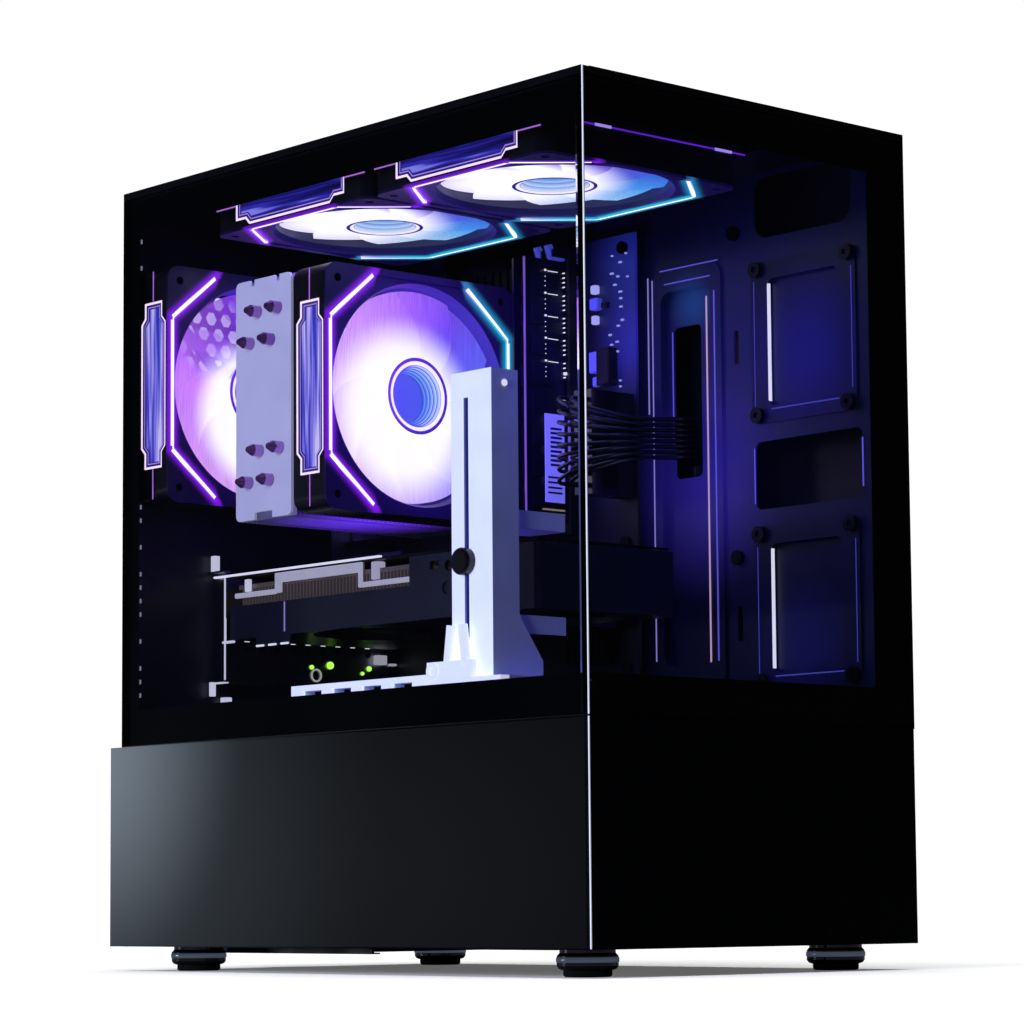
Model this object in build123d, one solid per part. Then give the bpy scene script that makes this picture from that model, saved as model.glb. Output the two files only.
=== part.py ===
"""Desktop computer tower with a glass front and a glass left side, built from its separate pieces.

Row frame: +Z up, front towards -Y, glass side towards -X, origin on the floor under the middle of the
bounding box. Millimetres. Every function makes one named piece and main() writes each as a STEP file.
"""

import math
import os

from build123d import *

# ---- driving dimensions of the case ----
CASE_W = 207.0  # left glass face to right panel face
GLASS_D = 342.0  # front glass face to the rear edge of the side glass
SKIRT_LIP = 10.0  # the side skirt runs this far behind the glass as a finger lip
FOOT_H = 12.0
BODY_H = 380.0
SEAM_H = 99.0  # height of the skirts above the underside of the body
GLASS_T = 4.0
STEEL = 1.0
SKIRT_T = 1.6
GAP = 0.3  # clearance round panels that come off

CASE_D = GLASS_D + SKIRT_LIP
LEFT, RIGHT = -CASE_W / 2, CASE_W / 2
FRONT, BACK = -CASE_D / 2, CASE_D / 2
GLASS_BACK = FRONT + GLASS_D
FLOOR_Z = FOOT_H
TOP_Z = FLOOR_Z + BODY_H
SEAM_Z = FLOOR_Z + SEAM_H

# ---- planes of the chassis ----
COVER_T = 3.6
COVER_Z = TOP_Z - COVER_T  # underside of the top cover
FRAME_Z = COVER_Z - 1.4  # underside of the steel top frame
WALL_Y = GLASS_BACK - 2.5  # inner face of the rear wall
WALL_T = 1.2
TRAY_X = 82.0  # face of the motherboard tray that looks at the glass
SHROUD_Z = 127.0  # top face of the power supply shroud
INNER_LEFT = LEFT + GLASS_T + GAP
INNER_FRONT = FRONT + GLASS_T + GAP
PANEL_X = RIGHT - 1.2  # inner face of the steel right panel

# ---- fans ----
FAN = 120.0
FAN_T = 25.0
FAN_HOLE_R = 54.0
FAN_LIP_R = 55.2
FAN_BOWL_T = 0.8
FAN_CORNER_R = 7.0
FAN_SCREW = 105.0
FAN_HUB_R = 19.0
SHAFT_R = 1.5
SHAFT_PLAY = 0.05
BLADE_TIP_R = 52.6
BLADES = 9
LIGHT_BAR_W = 3.0
LIGHT_BAR_D = 1.2
LIGHT_OUT = 57.0  # straight light bars lie this far from the fan's axis
LIGHT_STRAIGHT = 32.0  # half length of a straight light bar
LIGHT_END = (30.0, 57.5)  # outer end of a slanting light bar
WINDOW_LONG, WINDOW_MID = 85.0, 63.0  # side light window: whole length, length of its wide part
WINDOW_NARROW, WINDOW_WIDE = 15.0, 21.0

CPU_FAN = (-21.0, 40.5, 280.0)
REAR_FAN = (-34.0, WALL_Y - FAN_T / 2, 293.0)
TOP_FAN_Z = FRAME_Z - FAN_T / 2
TOP_FAN_FRONT = (-30.0, -78.0, TOP_FAN_Z)
TOP_FAN_REAR = (-30.0, 45.0, TOP_FAN_Z)

# ---- motherboard and what stands on it ----
BOARD_X = 74.0  # component face of the board
BOARD_T = 1.6
BOARD_Y = (-22.0, WALL_Y - 1.0)
BOARD_Z = (140.0, 366.0)
CPU_Y, CPU_Z = 77.0, 280.0
RAM_Y = (25.8, 17.8)
RAM_Z = (222.0, 355.3)
CARD_Z = 195.0  # middle of the graphics card's board and of its slot
PLUG_Y, PLUG_Z = (-20.0, -10.4), (232.0, 284.0)
PORT_Z = (212.0, 232.0, 257.0, 282.0, 306.0, 334.0)  # rear port blocks: middle, height and depth
PORT_TALL = (13.0, 16.0, 18.0, 15.0, 17.0, 22.0)
PORT_HIGH = (14.0, 30.0, 30.0, 16.0, 28.0, 30.0)
WIRE_R = 1.0
TRUNK_R = 4.5

# ---- tower cooler ----
PLATE_X = -81.0
FIN_Y = (55.0, 99.0)
FIN_Z = (219.5, 338.5)
FIN_X = (-77.5, 38.0)
FIN_PITCH = 2.9
FIN_T = 0.6
PIPE_R = 3.0
PIPE_REACH = (42.0, 27.0)  # height of the outer and inner pipe legs over the processor
PIPE_TOP_Y = (65.0, 81.0, 70.5, 87.0)
PIPE_LOW_Y = (71.5, 88.0, 63.5, 79.5)
PIPE_BASE_Y = (67.0, 81.0, 74.0, 88.0)
PIPE_BASE_X = 62.5

# ---- graphics card ----
CARD_OUT = -48.0  # outer long side
CARD_END = -85.0  # end nearest the front glass
CARD_REAR = 148.0
CARD_STEP_Y = -22.0  # the card is full width behind this line
CARD_NARROW_X, CARD_WIDE_X = 36.0, 58.0
SHROUD_Z0, SHROUD_Z1 = 166.0, 183.0
NOSE_Y = 6.0  # in front of this line the card's housing is closed up to the stiff plate
NOSE_WALL = 2.4
NOSE_TOP = CARD_Z + 1.8
SIDE_BAR_Y = (143.5, 108.0, 42.0)  # rear end and steps of the pale side bar
SIDE_BAR_Z = (189.4, 197.4, 187.4)  # its top line between them
CARD_FAN_R = 38.0
CARD_FAN_Y = (-38.0, 70.0)
CARD_FAN_X = -6.0

# ---- card stand ----
PILLAR_X = (-90.0, -74.0)
PILLAR_Y = (-101.5, -74.0)
PILLAR_Z = (SHROUD_Z + 5.0, 270.5)
SLOT_Y = -84.2
SLOT_W = 3.2
KNOB_Z = 184.4
ARM_Z = (159.3, 200.7)
ARM_TIP_X = -44.0

# ---- power supply ----
PSU_W, PSU_H, PSU_L = 150.0, 86.0, 140.0
PSU_Z = FLOOR_Z + STEEL
PSU_Y = WALL_Y - PSU_L
SWITCH_X, SWITCH_Y, SWITCH_Z = 9.0, WALL_Y - 2.5, PSU_Z + 60.0
SWITCH_TILT = 7.0

# ---- feet ----
FOOT_X, FOOT_FRONT_Y, FOOT_REAR_Y = 78.5, -147.0, 135.0
FOOT_R = 14.0

# ---- controls on the top ----
MODULE_X = (44.0, 78.0)
MODULE_Y = (-162.0, -58.0)
MODULE_TOP = TOP_Z - 0.6
BUTTON_X = sum(MODULE_X) / 2
POWER_Y, POWER_R = -150.0, 6.0
RESET_Y, RESET_R = -135.0, 3.5
FILTER_X, FILTER_Y = (-94.0, 34.0), (-146.0, 113.0)
USB_Y = (-116.0, -98.0)
JACK_Y = (-82.0, -72.0)


def block(x, y, z):
    """A box from its lowest and highest x, y and z."""
    spans = [(min(s), max(s)) for s in (x, y, z)]
    middle = [(a + b) / 2 for a, b in spans]
    return Pos(*middle) * Box(*[b - a for a, b in spans])


def rod(centre, radius, length, axis="Z"):
    """A cylinder whose middle is at centre."""
    turn = {"X": Rot(0, 90, 0), "Y": Rot(90, 0, 0), "Z": Rot(0, 0, 0)}[axis]
    return Pos(*centre) * turn * Cylinder(radius, length)


def slot_cut(centre, width, length, depth, axis):
    """A round-ended slot that runs along Z (axis X or Y) or along Y (axis Z)."""
    turn = {"X": Rot(0, 90, 0), "Y": Rot(90, 0, 0) * Rot(0, 0, 90), "Z": Rot(0, 0, 90)}[axis]
    return Pos(*centre) * turn * extrude(SlotOverall(length, width), depth / 2, both=True)


def plate_x(x0, x1, y, z, radius):
    """A plate across X with rounded corners seen along X."""
    outline = Rectangle(abs(z[1] - z[0]), abs(y[1] - y[0]))
    outline = fillet(outline.vertices(), radius)
    body = extrude(outline, abs(x1 - x0) / 2, both=True)
    return Pos((x0 + x1) / 2, sum(y) / 2, sum(z) / 2) * Rot(0, 90, 0) * body


def joined(shapes):
    """One shape from several that touch or overlap."""
    first, *rest = shapes
    return first.fuse(*rest) if rest else first


def group(shapes):
    """Separate solids kept in one node."""
    return Compound(children=[s for shape in shapes for s in shape.solids()])


# ---------------------------------------------------------------- fans


def fan_place(centre, faces):
    """Where a fan modelled face up about its own middle goes: its lit face looks to -Y or to -Z."""
    return Pos(*centre) * Rot(90 if faces == "-Y" else 180, 0, 0)


def light_bars():
    """The six bars of the octagon on a fan's lit face."""
    face_z = FAN_T / 2 - LIGHT_BAR_D / 2
    bars = []
    for side in (-1, 1):
        bars.append(Pos(side * LIGHT_OUT, 0, face_z) * Box(LIGHT_BAR_W, 2 * LIGHT_STRAIGHT, LIGHT_BAR_D))
        for up in (-1, 1):
            x0, y0 = side * LIGHT_OUT, up * (LIGHT_STRAIGHT + 1.6)
            x1, y1 = side * LIGHT_END[0], up * (LIGHT_END[1] - 1.0)
            length = math.hypot(x1 - x0, y1 - y0)
            turn = math.degrees(math.atan2(y1 - y0, x1 - x0))
            bar = Rot(0, 0, turn) * Box(length, LIGHT_BAR_W, LIGHT_BAR_D)
            bars.append(Pos((x0 + x1) / 2, (y0 + y1) / 2, face_z) * bar)
    return bars


def light_window():
    """The stepped light window on the fan's -X side."""
    half, mid = WINDOW_LONG / 2, WINDOW_MID / 2
    thin, wide = WINDOW_NARROW / 2, WINDOW_WIDE / 2
    slope = wide - thin
    quarter = [(half, thin), (mid + slope, thin), (mid, wide)]
    outline = quarter + [(-a, b) for a, b in reversed(quarter)]
    outline += [(-a, -b) for a, b in quarter] + [(a, -b) for a, b in reversed(quarter)]
    face = make_face(Polyline(*outline, close=True))
    body = extrude(face, LIGHT_BAR_D)
    # the outline's length runs along the fan's Y and its width along the fan's Z
    return Plane(origin=(-FAN / 2, 0, 0), x_dir=(0, 1, 0), z_dir=(1, 0, 0)) * body


def fan_frame():
    """Square frame with a round duct, four struts and the motor seat at its back."""
    outline = fillet(Rectangle(FAN, FAN).vertices(), FAN_CORNER_R)
    frame = extrude(outline, FAN_T / 2, both=True)
    frame -= Cylinder(FAN_HOLE_R, FAN_T)
    frame -= Pos(0, 0, FAN_T / 2 - FAN_BOWL_T - 1.5) * Cone(FAN_HOLE_R, FAN_LIP_R, 3.0)
    side, slant = LIGHT_OUT, (LIGHT_END[0], LIGHT_END[1] - 1.0)
    corner = [(side, LIGHT_STRAIGHT + 1.6), slant, (-slant[0], slant[1]), (-side, LIGHT_STRAIGHT + 1.6)]
    bowl = make_face(Polyline(*corner, *[(-a, -b) for a, b in corner], close=True))
    frame -= Pos(0, 0, FAN_T / 2 - FAN_BOWL_T) * extrude(bowl, FAN_BOWL_T)
    seat = Pos(0, 0, -FAN_T / 2 + 1.5) * Cylinder(FAN_HUB_R, 3.0)
    struts = [
        Rot(0, 0, 45 + 90 * i) * Pos(FAN_HOLE_R / 2 + 5, 0, -FAN_T / 2 + 1.5) * Box(FAN_HOLE_R, 4.5, 3.0)
        for i in range(4)
    ]
    duct = Cylinder(FAN_HOLE_R + 1.0, FAN_T)
    shaft = Pos(0, 0, -6.75) * Cylinder(SHAFT_R, 6.5)
    frame = joined([frame, seat, shaft] + [s & duct for s in struts])
    for i in range(4):
        corner = Rot(0, 0, 90 * i) * Pos(FAN_SCREW / 2, FAN_SCREW / 2, 0)
        frame -= corner * Cylinder(2.15, FAN_T)
    for light in light_bars():
        frame -= light
    return frame - light_window()


def fan_lights():
    """The clear inlays of a fan: octagon bars and side window."""
    return light_bars() + [light_window()]


def fan_rotor(hub_r, tip_r, blades, depth, blade_t=1.4, chord=23.0, pitch=34.0):
    """Hub with pitched blades, cut to the tip circle, with a blind bore for its shaft from behind."""
    hub = Cylinder(hub_r, depth)
    hub = fillet(hub.edges().filter_by(GeomType.CIRCLE).sort_by(Axis.Z)[-1], 1.5)
    hub -= Pos(0, 0, -2.0) * Cylinder(SHAFT_R + SHAFT_PLAY, depth - 4.0)
    reach = Cylinder(tip_r, depth - 1.0)
    span = tip_r - hub_r + 6.0
    one = Pos(hub_r - 3.0 + span / 2, 0, 0) * Rot(pitch, 0, 0) * Box(span, chord, blade_t)
    one = one & reach
    return joined([hub] + [Rot(0, 0, 360 / blades * i) * one for i in range(blades)])


def case_fan_rotor():
    rotor = fan_rotor(FAN_HUB_R, BLADE_TIP_R, BLADES, 17.0)
    return Pos(0, 0, 1.0) * rotor


# ---------------------------------------------------------------- chassis


def base_pan():
    """Bottom sheet with turned-up edges, air slots under the power supply and filter rails."""
    x, y = (LEFT + SKIRT_T + GAP, PANEL_X - GAP), (INNER_FRONT + 1.0, WALL_Y)
    parts = [block(x, y, (FLOOR_Z, FLOOR_Z + STEEL))]
    for side in x:
        inner = side + (STEEL if side < 0 else -STEEL)
        parts.append(block((side, inner), y, (FLOOR_Z, FLOOR_Z + 9)))
    for side in (-1, 1):
        parts.append(block((side * 60.6, side * 62.0), (20, 162), (FLOOR_Z - 3.6, FLOOR_Z)))
        parts.append(block((side * 57.0, side * 62.0), (20, 162), (FLOOR_Z - 3.6, FLOOR_Z - 2.9)))
    pan = joined(parts)
    for i in range(13):
        at = (-48 + 8 * i, sum((PSU_Y, WALL_Y)) / 2, FLOOR_Z)
        pan -= slot_cut(at, 4.0, 104.0, 8.0, "Z")
    for x0 in (-FOOT_X, FOOT_X):
        for y0 in (FOOT_FRONT_Y, FOOT_REAR_Y):
            pan -= rod((x0, y0, FLOOR_Z), 2.2, 8.0)
    return pan


def rear_wall():
    """Back sheet: fan grille, port window, card slots and power supply window."""
    y = (WALL_Y, WALL_Y + WALL_T)
    wall = block((INNER_LEFT + 0.6, PANEL_X - GAP), y, (FLOOR_Z + STEEL, FRAME_Z))
    deep = (WALL_Y - 5, WALL_Y + 5)
    wall -= block((30.5, 76.0), deep, (203.5, 362.5))
    wall -= block((-66.0, 66.0), deep, (PSU_Z + 5, PSU_Z + PSU_H - 5))
    for i in range(2):
        top = 201.0 - 20.32 * i
        wall -= block((-40.0, 66.0), deep, (top - 13.5, top - 1.0))
    knockout = 201.0 - 20.32 * 2
    wall -= block((-40.0, 64.0), deep, (knockout - 13.5, knockout - 12.5))
    wall -= block((-40.0, 64.0), deep, (knockout - 2.0, knockout - 1.0))
    pitch, hole_r = 9.4, 3.9
    holes = []
    for row in range(-6, 7):
        for col in range(-7, 8):
            dx = pitch * (col + (row % 2) / 2)
            dz = pitch * row * math.sqrt(3) / 2
            if math.hypot(dx, dz) < FAN_HOLE_R - hole_r:
                holes.append((REAR_FAN[0] + dx, REAR_FAN[2] + dz))
    cell = Rot(90, 0, 0) * extrude(RegularPolygon(hole_r, 6), 5, both=True)
    cutters = [Pos(a, WALL_Y, b) * cell for a, b in holes]
    wall = wall.cut(*cutters)
    for dx in (-FAN_SCREW / 2, FAN_SCREW / 2):
        for dz in (-FAN_SCREW / 2, FAN_SCREW / 2):
            wall -= rod((REAR_FAN[0] + dx, WALL_Y, REAR_FAN[2] + dz), 2.2, 10, "Y")
    return wall


def stamped(sheet, x, y, z, radius, depth):
    """A sheet across X with a pan pressed into it, whose floor lies depth behind the face at x."""
    pan = plate_x(x, x + depth + STEEL, y, z, radius)
    inner_y = (min(y) + STEEL, max(y) - STEEL)
    inner_z = (min(z) + STEEL, max(z) - STEEL)
    pan -= plate_x(x - 1, x + depth, inner_y, inner_z, radius - STEEL)
    return (sheet - plate_x(x - 1, x + 3, y, z, radius)) + pan


def motherboard_tray():
    """Upright sheet that carries the board, stamped for cables, with a turned front edge."""
    x = (TRAY_X, TRAY_X + STEEL)
    y = (INNER_FRONT + 1.0, WALL_Y)
    z = (FLOOR_Z + STEEL, FRAME_Z)
    tray = block(x, y, z)
    raised = plate_x(TRAY_X - 1.5, TRAY_X + 0.2, (-75.0, -26.0), (134.0, 345.0), 8.0)
    tray = joined([tray, raised])
    cable_y, cable_z = (-69.0, -32.0), (145.0, 335.0)
    tray = stamped(tray, TRAY_X - 1.5, cable_y, cable_z, 8.0, 4.5)
    tray -= plate_x(TRAY_X - 5, TRAY_X + 8, (-57.0, -38.0), (240.0, 316.0), 3.0)
    for pad_z in ((264.0, 334.0), (136.0, 206.0)):
        tray -= block((TRAY_X - 5, TRAY_X + 5), (-155.0, -103.0), pad_z)
    tray -= plate_x(TRAY_X - 5, TRAY_X + 5, (-165.0, -95.5), (219.0, 252.0), 4.0)
    tray -= plate_x(TRAY_X - 5, TRAY_X + 5, (-160.0, -97.0), (351.0, 381.0), 8.0)
    tray -= plate_x(TRAY_X - 5, TRAY_X + 5, (40.0, 118.0), (235.0, 325.0), 6.0)
    tray -= plate_x(TRAY_X - 5, TRAY_X + 5, (60.0, 130.0), (369.0, 382.0), 3.0)
    tray -= plate_x(TRAY_X - 5, TRAY_X + 5, (-60.0, 10.0), (100.0, 122.0), 6.0)
    for slot_z in (300.0, 165.0):
        tray -= slot_cut((TRAY_X, -84.0, slot_z), 3.2, 17.0, 10.0, "X")
    front = block((TRAY_X, PANEL_X - GAP - STEEL), (y[0], y[0] + STEEL), z)
    return joined([tray, front])


def ssd_plates():
    """Two drive plates on the tray, each with a stamped seat for a 2.5 inch drive."""
    plates = []
    for z0, z1 in ((260.5, 339.5), (132.0, 211.0)):
        plate = plate_x(TRAY_X - STEEL, TRAY_X, (-163.0, -95.0), (z0, z1), 6.0)
        plate = stamped(plate, TRAY_X - STEEL, (-153.0, -105.0), (z0 + 7.0, z1 - 8.0), 5.0, 3.2)
        for a in (-158.5, -99.5):
            for b in (z0 + 4.0, z1 - 4.0):
                plate -= rod((TRAY_X, a, b), 2.2, 6, "X")
        plates.append(plate)
    return group(plates)


def top_frame():
    """Steel sheet under the top cover that carries the two top fans."""
    x, y = (INNER_LEFT + 0.6, PANEL_X - GAP), (INNER_FRONT + 1.0, WALL_Y + WALL_T)
    frame = block(x, y, (FRAME_Z, COVER_Z))
    for fan in (TOP_FAN_FRONT, TOP_FAN_REAR):
        frame -= rod((fan[0], fan[1], FRAME_Z), FAN_HOLE_R, 10)
        for dx in (-FAN_SCREW / 2, FAN_SCREW / 2):
            for dy in (-FAN_SCREW / 2, FAN_SCREW / 2):
                frame -= rod((fan[0] + dx, fan[1] + dy, FRAME_Z), 2.2, 10)
    module_x = (MODULE_X[0] - 0.5, MODULE_X[1] + 0.5)
    module_y = (MODULE_Y[0] - 0.5, MODULE_Y[1] + 0.5)
    return frame - block(module_x, module_y, (FRAME_Z - 5, TOP_Z))


def top_cover():
    """Top cover over the glass edges, open under the dust filter and the control module."""
    cover = block((LEFT, RIGHT), (FRONT, GLASS_BACK), (COVER_Z, TOP_Z))
    cover = chamfer(cover.edges().filter_by(Axis.Z, reverse=True).group_by(Axis.Z)[-1], 0.6)
    room = 0.4
    opening_y = (FILTER_Y[0] - room, FILTER_Y[1] + room)
    cover -= block((FILTER_X[0] - room, FILTER_X[1] + room), opening_y, (COVER_Z - 1, TOP_Z + 1))
    module_y = (MODULE_Y[0] - 0.2, MODULE_Y[1] + 0.2)
    cover -= block((MODULE_X[0] - 0.2, MODULE_X[1] + 0.2), module_y, (COVER_Z - 1, TOP_Z + 1))
    return cover


def top_filter():
    """Magnetic dust filter: rim, cross ribs and a coarse stand-in for the mesh."""
    rim = block(FILTER_X, FILTER_Y, (COVER_Z + 0.3, TOP_Z - 0.2))
    inside_x = (FILTER_X[0] + 5, FILTER_X[1] - 5)
    inside_y = (FILTER_Y[0] + 5, FILTER_Y[1] - 5)
    rim -= block(inside_x, inside_y, (COVER_Z - 1, TOP_Z + 1))
    starts = [FILTER_Y[0] + 43 * i for i in range(1, 6)]
    ribs = [block(FILTER_X, (y0, y0 + 2), (COVER_Z + 0.3, TOP_Z - 1.4)) for y0 in starts]
    mesh = block(FILTER_X, FILTER_Y, (COVER_Z + 1.2, COVER_Z + 1.7))
    return joined([rim, mesh] + ribs)


def front_skirt():
    """Lower front panel with turned-in edges."""
    x, z = (LEFT, RIGHT), (FLOOR_Z, SEAM_Z)
    skirt = block(x, (FRONT, FRONT + SKIRT_T), z)
    skirt = fillet(skirt.edges().filter_by(Axis.Y, reverse=True).group_by(Axis.Y)[0], 0.7)
    edge = (FRONT + SKIRT_T - 0.2, INNER_FRONT + 0.6)
    inner = (LEFT + SKIRT_T, RIGHT - SKIRT_T)
    lips = [
        block(inner, edge, (FLOOR_Z, FLOOR_Z + STEEL)),
        block(inner, edge, (SEAM_Z - STEEL, SEAM_Z)),
    ]
    return joined([skirt] + lips)


def side_skirt():
    """Lower left panel, longer than the glass, with turned-in edges."""
    y, z = (FRONT + SKIRT_T + GAP, BACK), (FLOOR_Z, SEAM_Z)
    skirt = block((LEFT, LEFT + SKIRT_T), y, z)
    skirt = fillet(skirt.edges().filter_by(Axis.X, reverse=True).group_by(Axis.X)[0], 0.7)
    edge = (LEFT + SKIRT_T - 0.2, INNER_LEFT + 0.3)
    inner = (INNER_FRONT + 1.0, BACK - SKIRT_T)
    top = block(edge, inner, (SEAM_Z - STEEL, SEAM_Z))
    lip = block((LEFT + SKIRT_T - 0.2, LEFT + 9.0), (BACK - STEEL, BACK), (FLOOR_Z + 2, SEAM_Z - 2))
    return joined([skirt, top, lip])


def psu_shroud():
    """Cover over the power supply bay, with a front drop and air slots."""
    x, y = (INNER_LEFT + 1.0, TRAY_X), (-158.0, WALL_Y)
    top = block(x, y, (SHROUD_Z - STEEL, SHROUD_Z))
    drop = block(x, (y[0], y[0] + STEEL), (FLOOR_Z + STEEL, SHROUD_Z))
    side = block((x[0], x[0] + STEEL), y, (SEAM_Z - 30, SHROUD_Z))
    shroud = joined([top, drop, side])
    for i in range(9):
        shroud -= slot_cut((-20 + 9 * i, 90.0, SHROUD_Z), 3.6, 60.0, 8.0, "Z")
    shroud -= block((30, 70), (-60, -35), (SHROUD_Z - 5, SHROUD_Z + 5))
    return shroud


def side_glass():
    z = (SEAM_Z + GAP, COVER_Z - GAP)
    pane = block((LEFT, LEFT + GLASS_T), (INNER_FRONT, GLASS_BACK), z)
    return chamfer(pane.edges().filter_by(Axis.X, reverse=True), 0.5)


def front_glass():
    z = (SEAM_Z + GAP, COVER_Z - GAP)
    pane = block((LEFT, RIGHT), (FRONT, FRONT + GLASS_T), z)
    return chamfer(pane.edges().filter_by(Axis.Y, reverse=True), 0.5)


def right_panel():
    """Steel side cover with a turned rear edge for its thumb screws."""
    z = (FLOOR_Z + 0.5, COVER_Z - GAP)
    panel = block((PANEL_X, RIGHT), (INNER_FRONT + 0.8, GLASS_BACK - 0.2), z)
    panel = fillet(panel.edges().filter_by(Axis.X, reverse=True).group_by(Axis.X)[-1], 0.5)
    flange = block((PANEL_X - 12.0, PANEL_X + 0.2), (WALL_Y + WALL_T + 0.2, GLASS_BACK - 0.2), z)
    panel = joined([panel, flange])
    for z0 in (55.0, 335.0):
        panel -= rod((PANEL_X - 6.0, GLASS_BACK, z0), 1.8, 8, "Y")
    return panel


def thumb_screws():
    """Two knurled screws that hold the right panel."""
    screws = []
    for z0 in (55.0, 335.0):
        head = rod((PANEL_X - 6.0, GLASS_BACK + 3.6, z0), 5.0, 7.2, "Y")
        for i in range(16):
            a = math.radians(22.5 * i)
            at = (PANEL_X - 6.0 + 5.0 * math.cos(a), GLASS_BACK + 3.6, z0 + 5.0 * math.sin(a))
            head -= rod(at, 0.5, 9, "Y")
        slot_y = (GLASS_BACK + 6.0, GLASS_BACK + 8)
        screws.append(head - block((PANEL_X - 10, PANEL_X - 2), slot_y, (z0 - 0.6, z0 + 0.6)))
    return group(screws)


def feet():
    """Four round feet with a groove for the bright ring."""
    profile = [(0, 3.0), (11.2, 3.0), (12.6, 3.6), (13.4, 4.8)]
    profile += [(13.4, 9.0), (12.2, 10.4), (12.2, 12.0), (0, 12.0)]
    face = make_face(Polyline(*[(r, 0, z) for r, z in profile], close=True))
    foot = revolve(face, Axis.Z)
    return group([Pos(x, y, 0) * foot for x in (-FOOT_X, FOOT_X) for y in (FOOT_FRONT_Y, FOOT_REAR_Y)])


def foot_pads():
    pad = Pos(0, 0, 1.5) * Cylinder(10.6, 3.0)
    pad = chamfer(pad.edges().group_by(Axis.Z)[0], 0.8)
    return group([Pos(x, y, 0) * pad for x in (-FOOT_X, FOOT_X) for y in (FOOT_FRONT_Y, FOOT_REAR_Y)])


def base_filter():
    """Slide-out dust filter under the power supply, with a pull tab at the rear."""
    rim = block((-56.6, 56.6), (22, 164), (9.4, 11.6))
    rim -= block((-51, 51), (27, 158), (8, 13))
    wide = block((-60.2, 60.2), (22, 160), (9.4, 11.6)) - block((-56.6, 56.6), (20, 162), (8, 13))
    mesh = block((-55, 55), (24, 160), (10.2, 10.7))
    tab = block((-14, 14), (163, 171), (9.4, 11.6))
    return joined([rim, wide, mesh, tab])


# ---------------------------------------------------------------- controls on the top


def io_module():
    """Plastic insert in the top cover that holds buttons and ports."""
    body = block(MODULE_X, MODULE_Y, (MODULE_TOP - 9.0, MODULE_TOP))
    body = chamfer(body.edges().group_by(Axis.Z)[-1], 0.4)
    body -= rod((BUTTON_X, POWER_Y, MODULE_TOP - 2), POWER_R + 0.3, 8)
    body -= rod((BUTTON_X, RESET_Y, MODULE_TOP - 2), RESET_R + 0.3, 8)
    port_x = (BUTTON_X - 3.0, BUTTON_X + 3.0)
    for y0 in USB_Y:
        body -= block(port_x, (y0 - 6.8, y0 + 6.8), (MODULE_TOP - 8, MODULE_TOP + 1))
    for y0 in JACK_Y:
        body -= rod((BUTTON_X, y0, MODULE_TOP), 3.0, 15.9)
    return body


def io_ports():
    """Metal port shells with their contact tongues, and two audio sockets."""
    parts = []
    for y0 in USB_Y:
        z = (MODULE_TOP - 8, MODULE_TOP - 0.1)
        shell = block((BUTTON_X - 3.0, BUTTON_X + 3.0), (y0 - 6.8, y0 + 6.8), z)
        inside_x = (BUTTON_X - 2.6, BUTTON_X + 2.6)
        shell -= block(inside_x, (y0 - 6.4, y0 + 6.4), (MODULE_TOP - 7, MODULE_TOP + 1))
        tongue_x = (BUTTON_X - 2.6, BUTTON_X - 0.6)
        tongue = block(tongue_x, (y0 - 5.6, y0 + 5.6), (MODULE_TOP - 7.2, MODULE_TOP - 0.8))
        parts.append(joined([shell, tongue]))
    for y0 in JACK_Y:
        ring = rod((BUTTON_X, y0, MODULE_TOP - 3.95), 3.0, 7.9)
        parts.append(ring - rod((BUTTON_X, y0, MODULE_TOP - 3), 1.8, 8))
    return group(parts)


def button(y0, radius):
    cap = rod((BUTTON_X, y0, TOP_Z - 2.0), radius, 4.0)
    return fillet(cap.edges().group_by(Axis.Z)[-1], 0.5)


# ---------------------------------------------------------------- motherboard


def motherboard():
    board = block((BOARD_X, BOARD_X + BOARD_T), BOARD_Y, BOARD_Z)
    for y0, z0 in standoff_places():
        board -= rod((BOARD_X, y0, z0), 1.9, 8, "X")
    return board


def standoff_places():
    """Where the board is screwed down."""
    return [(y0, z0) for y0 in (-14.0, 66.0, 134.0) for z0 in (147.0, 210.0, 359.0)]


def board_sockets():
    """Processor socket, memory, card and power sockets, all soldered to the board."""
    parts = [block((BOARD_X - 5.0, BOARD_X), (CPU_Y - 24, CPU_Y + 24), (CPU_Z - 27, CPU_Z + 27))]
    for y0 in RAM_Y:
        slot = block((BOARD_X - 8.5, BOARD_X), (y0 - 3.2, y0 + 3.2), (RAM_Z[0] - 5.5, RAM_Z[1] + 5.5))
        ears = block((BOARD_X - 19, BOARD_X - 8.5), (y0 - 3.2, y0 + 3.2), (RAM_Z[1] + 1.5, RAM_Z[1] + 5.5))
        ears -= block((BOARD_X - 20, BOARD_X - 8.5), (y0 - 1.8, y0 + 1.8), (RAM_Z[1], RAM_Z[1] + 7))
        slot = joined([slot, ears])
        slot -= block((BOARD_X - 30, BOARD_X - 3.0), (y0 - 1.0, y0 + 1.0), (RAM_Z[0] - 0.3, RAM_Z[1] + 0.3))
        parts.append(slot)
    card = block((BOARD_X - 11.0, BOARD_X), (25.0, 114.0), (CARD_Z - 3.6, CARD_Z + 3.6))
    card -= block((BOARD_X - 12, BOARD_X - 4), (24.0, 112.0), (CARD_Z - 1.0, CARD_Z + 1.0))
    parts.append(card)
    short = block((BOARD_X - 11.0, BOARD_X), (80.0, 105.0), (152.0, 159.0))
    short -= block((BOARD_X - 12, BOARD_X - 4), (82.0, 103.0), (154.5, 156.5))
    parts.append(short)
    parts.append(block((BOARD_X - 12.0, BOARD_X), PLUG_Y, PLUG_Z))
    parts.append(block((BOARD_X - 12.0, BOARD_X), (105.0, 124.0), (352.0, 362.0)))
    for z0 in (170.0, 180.0):
        parts.append(block((BOARD_X - 8.5, BOARD_X), (-21.0, -6.0), (z0, z0 + 8)))
    return group(parts)


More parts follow.
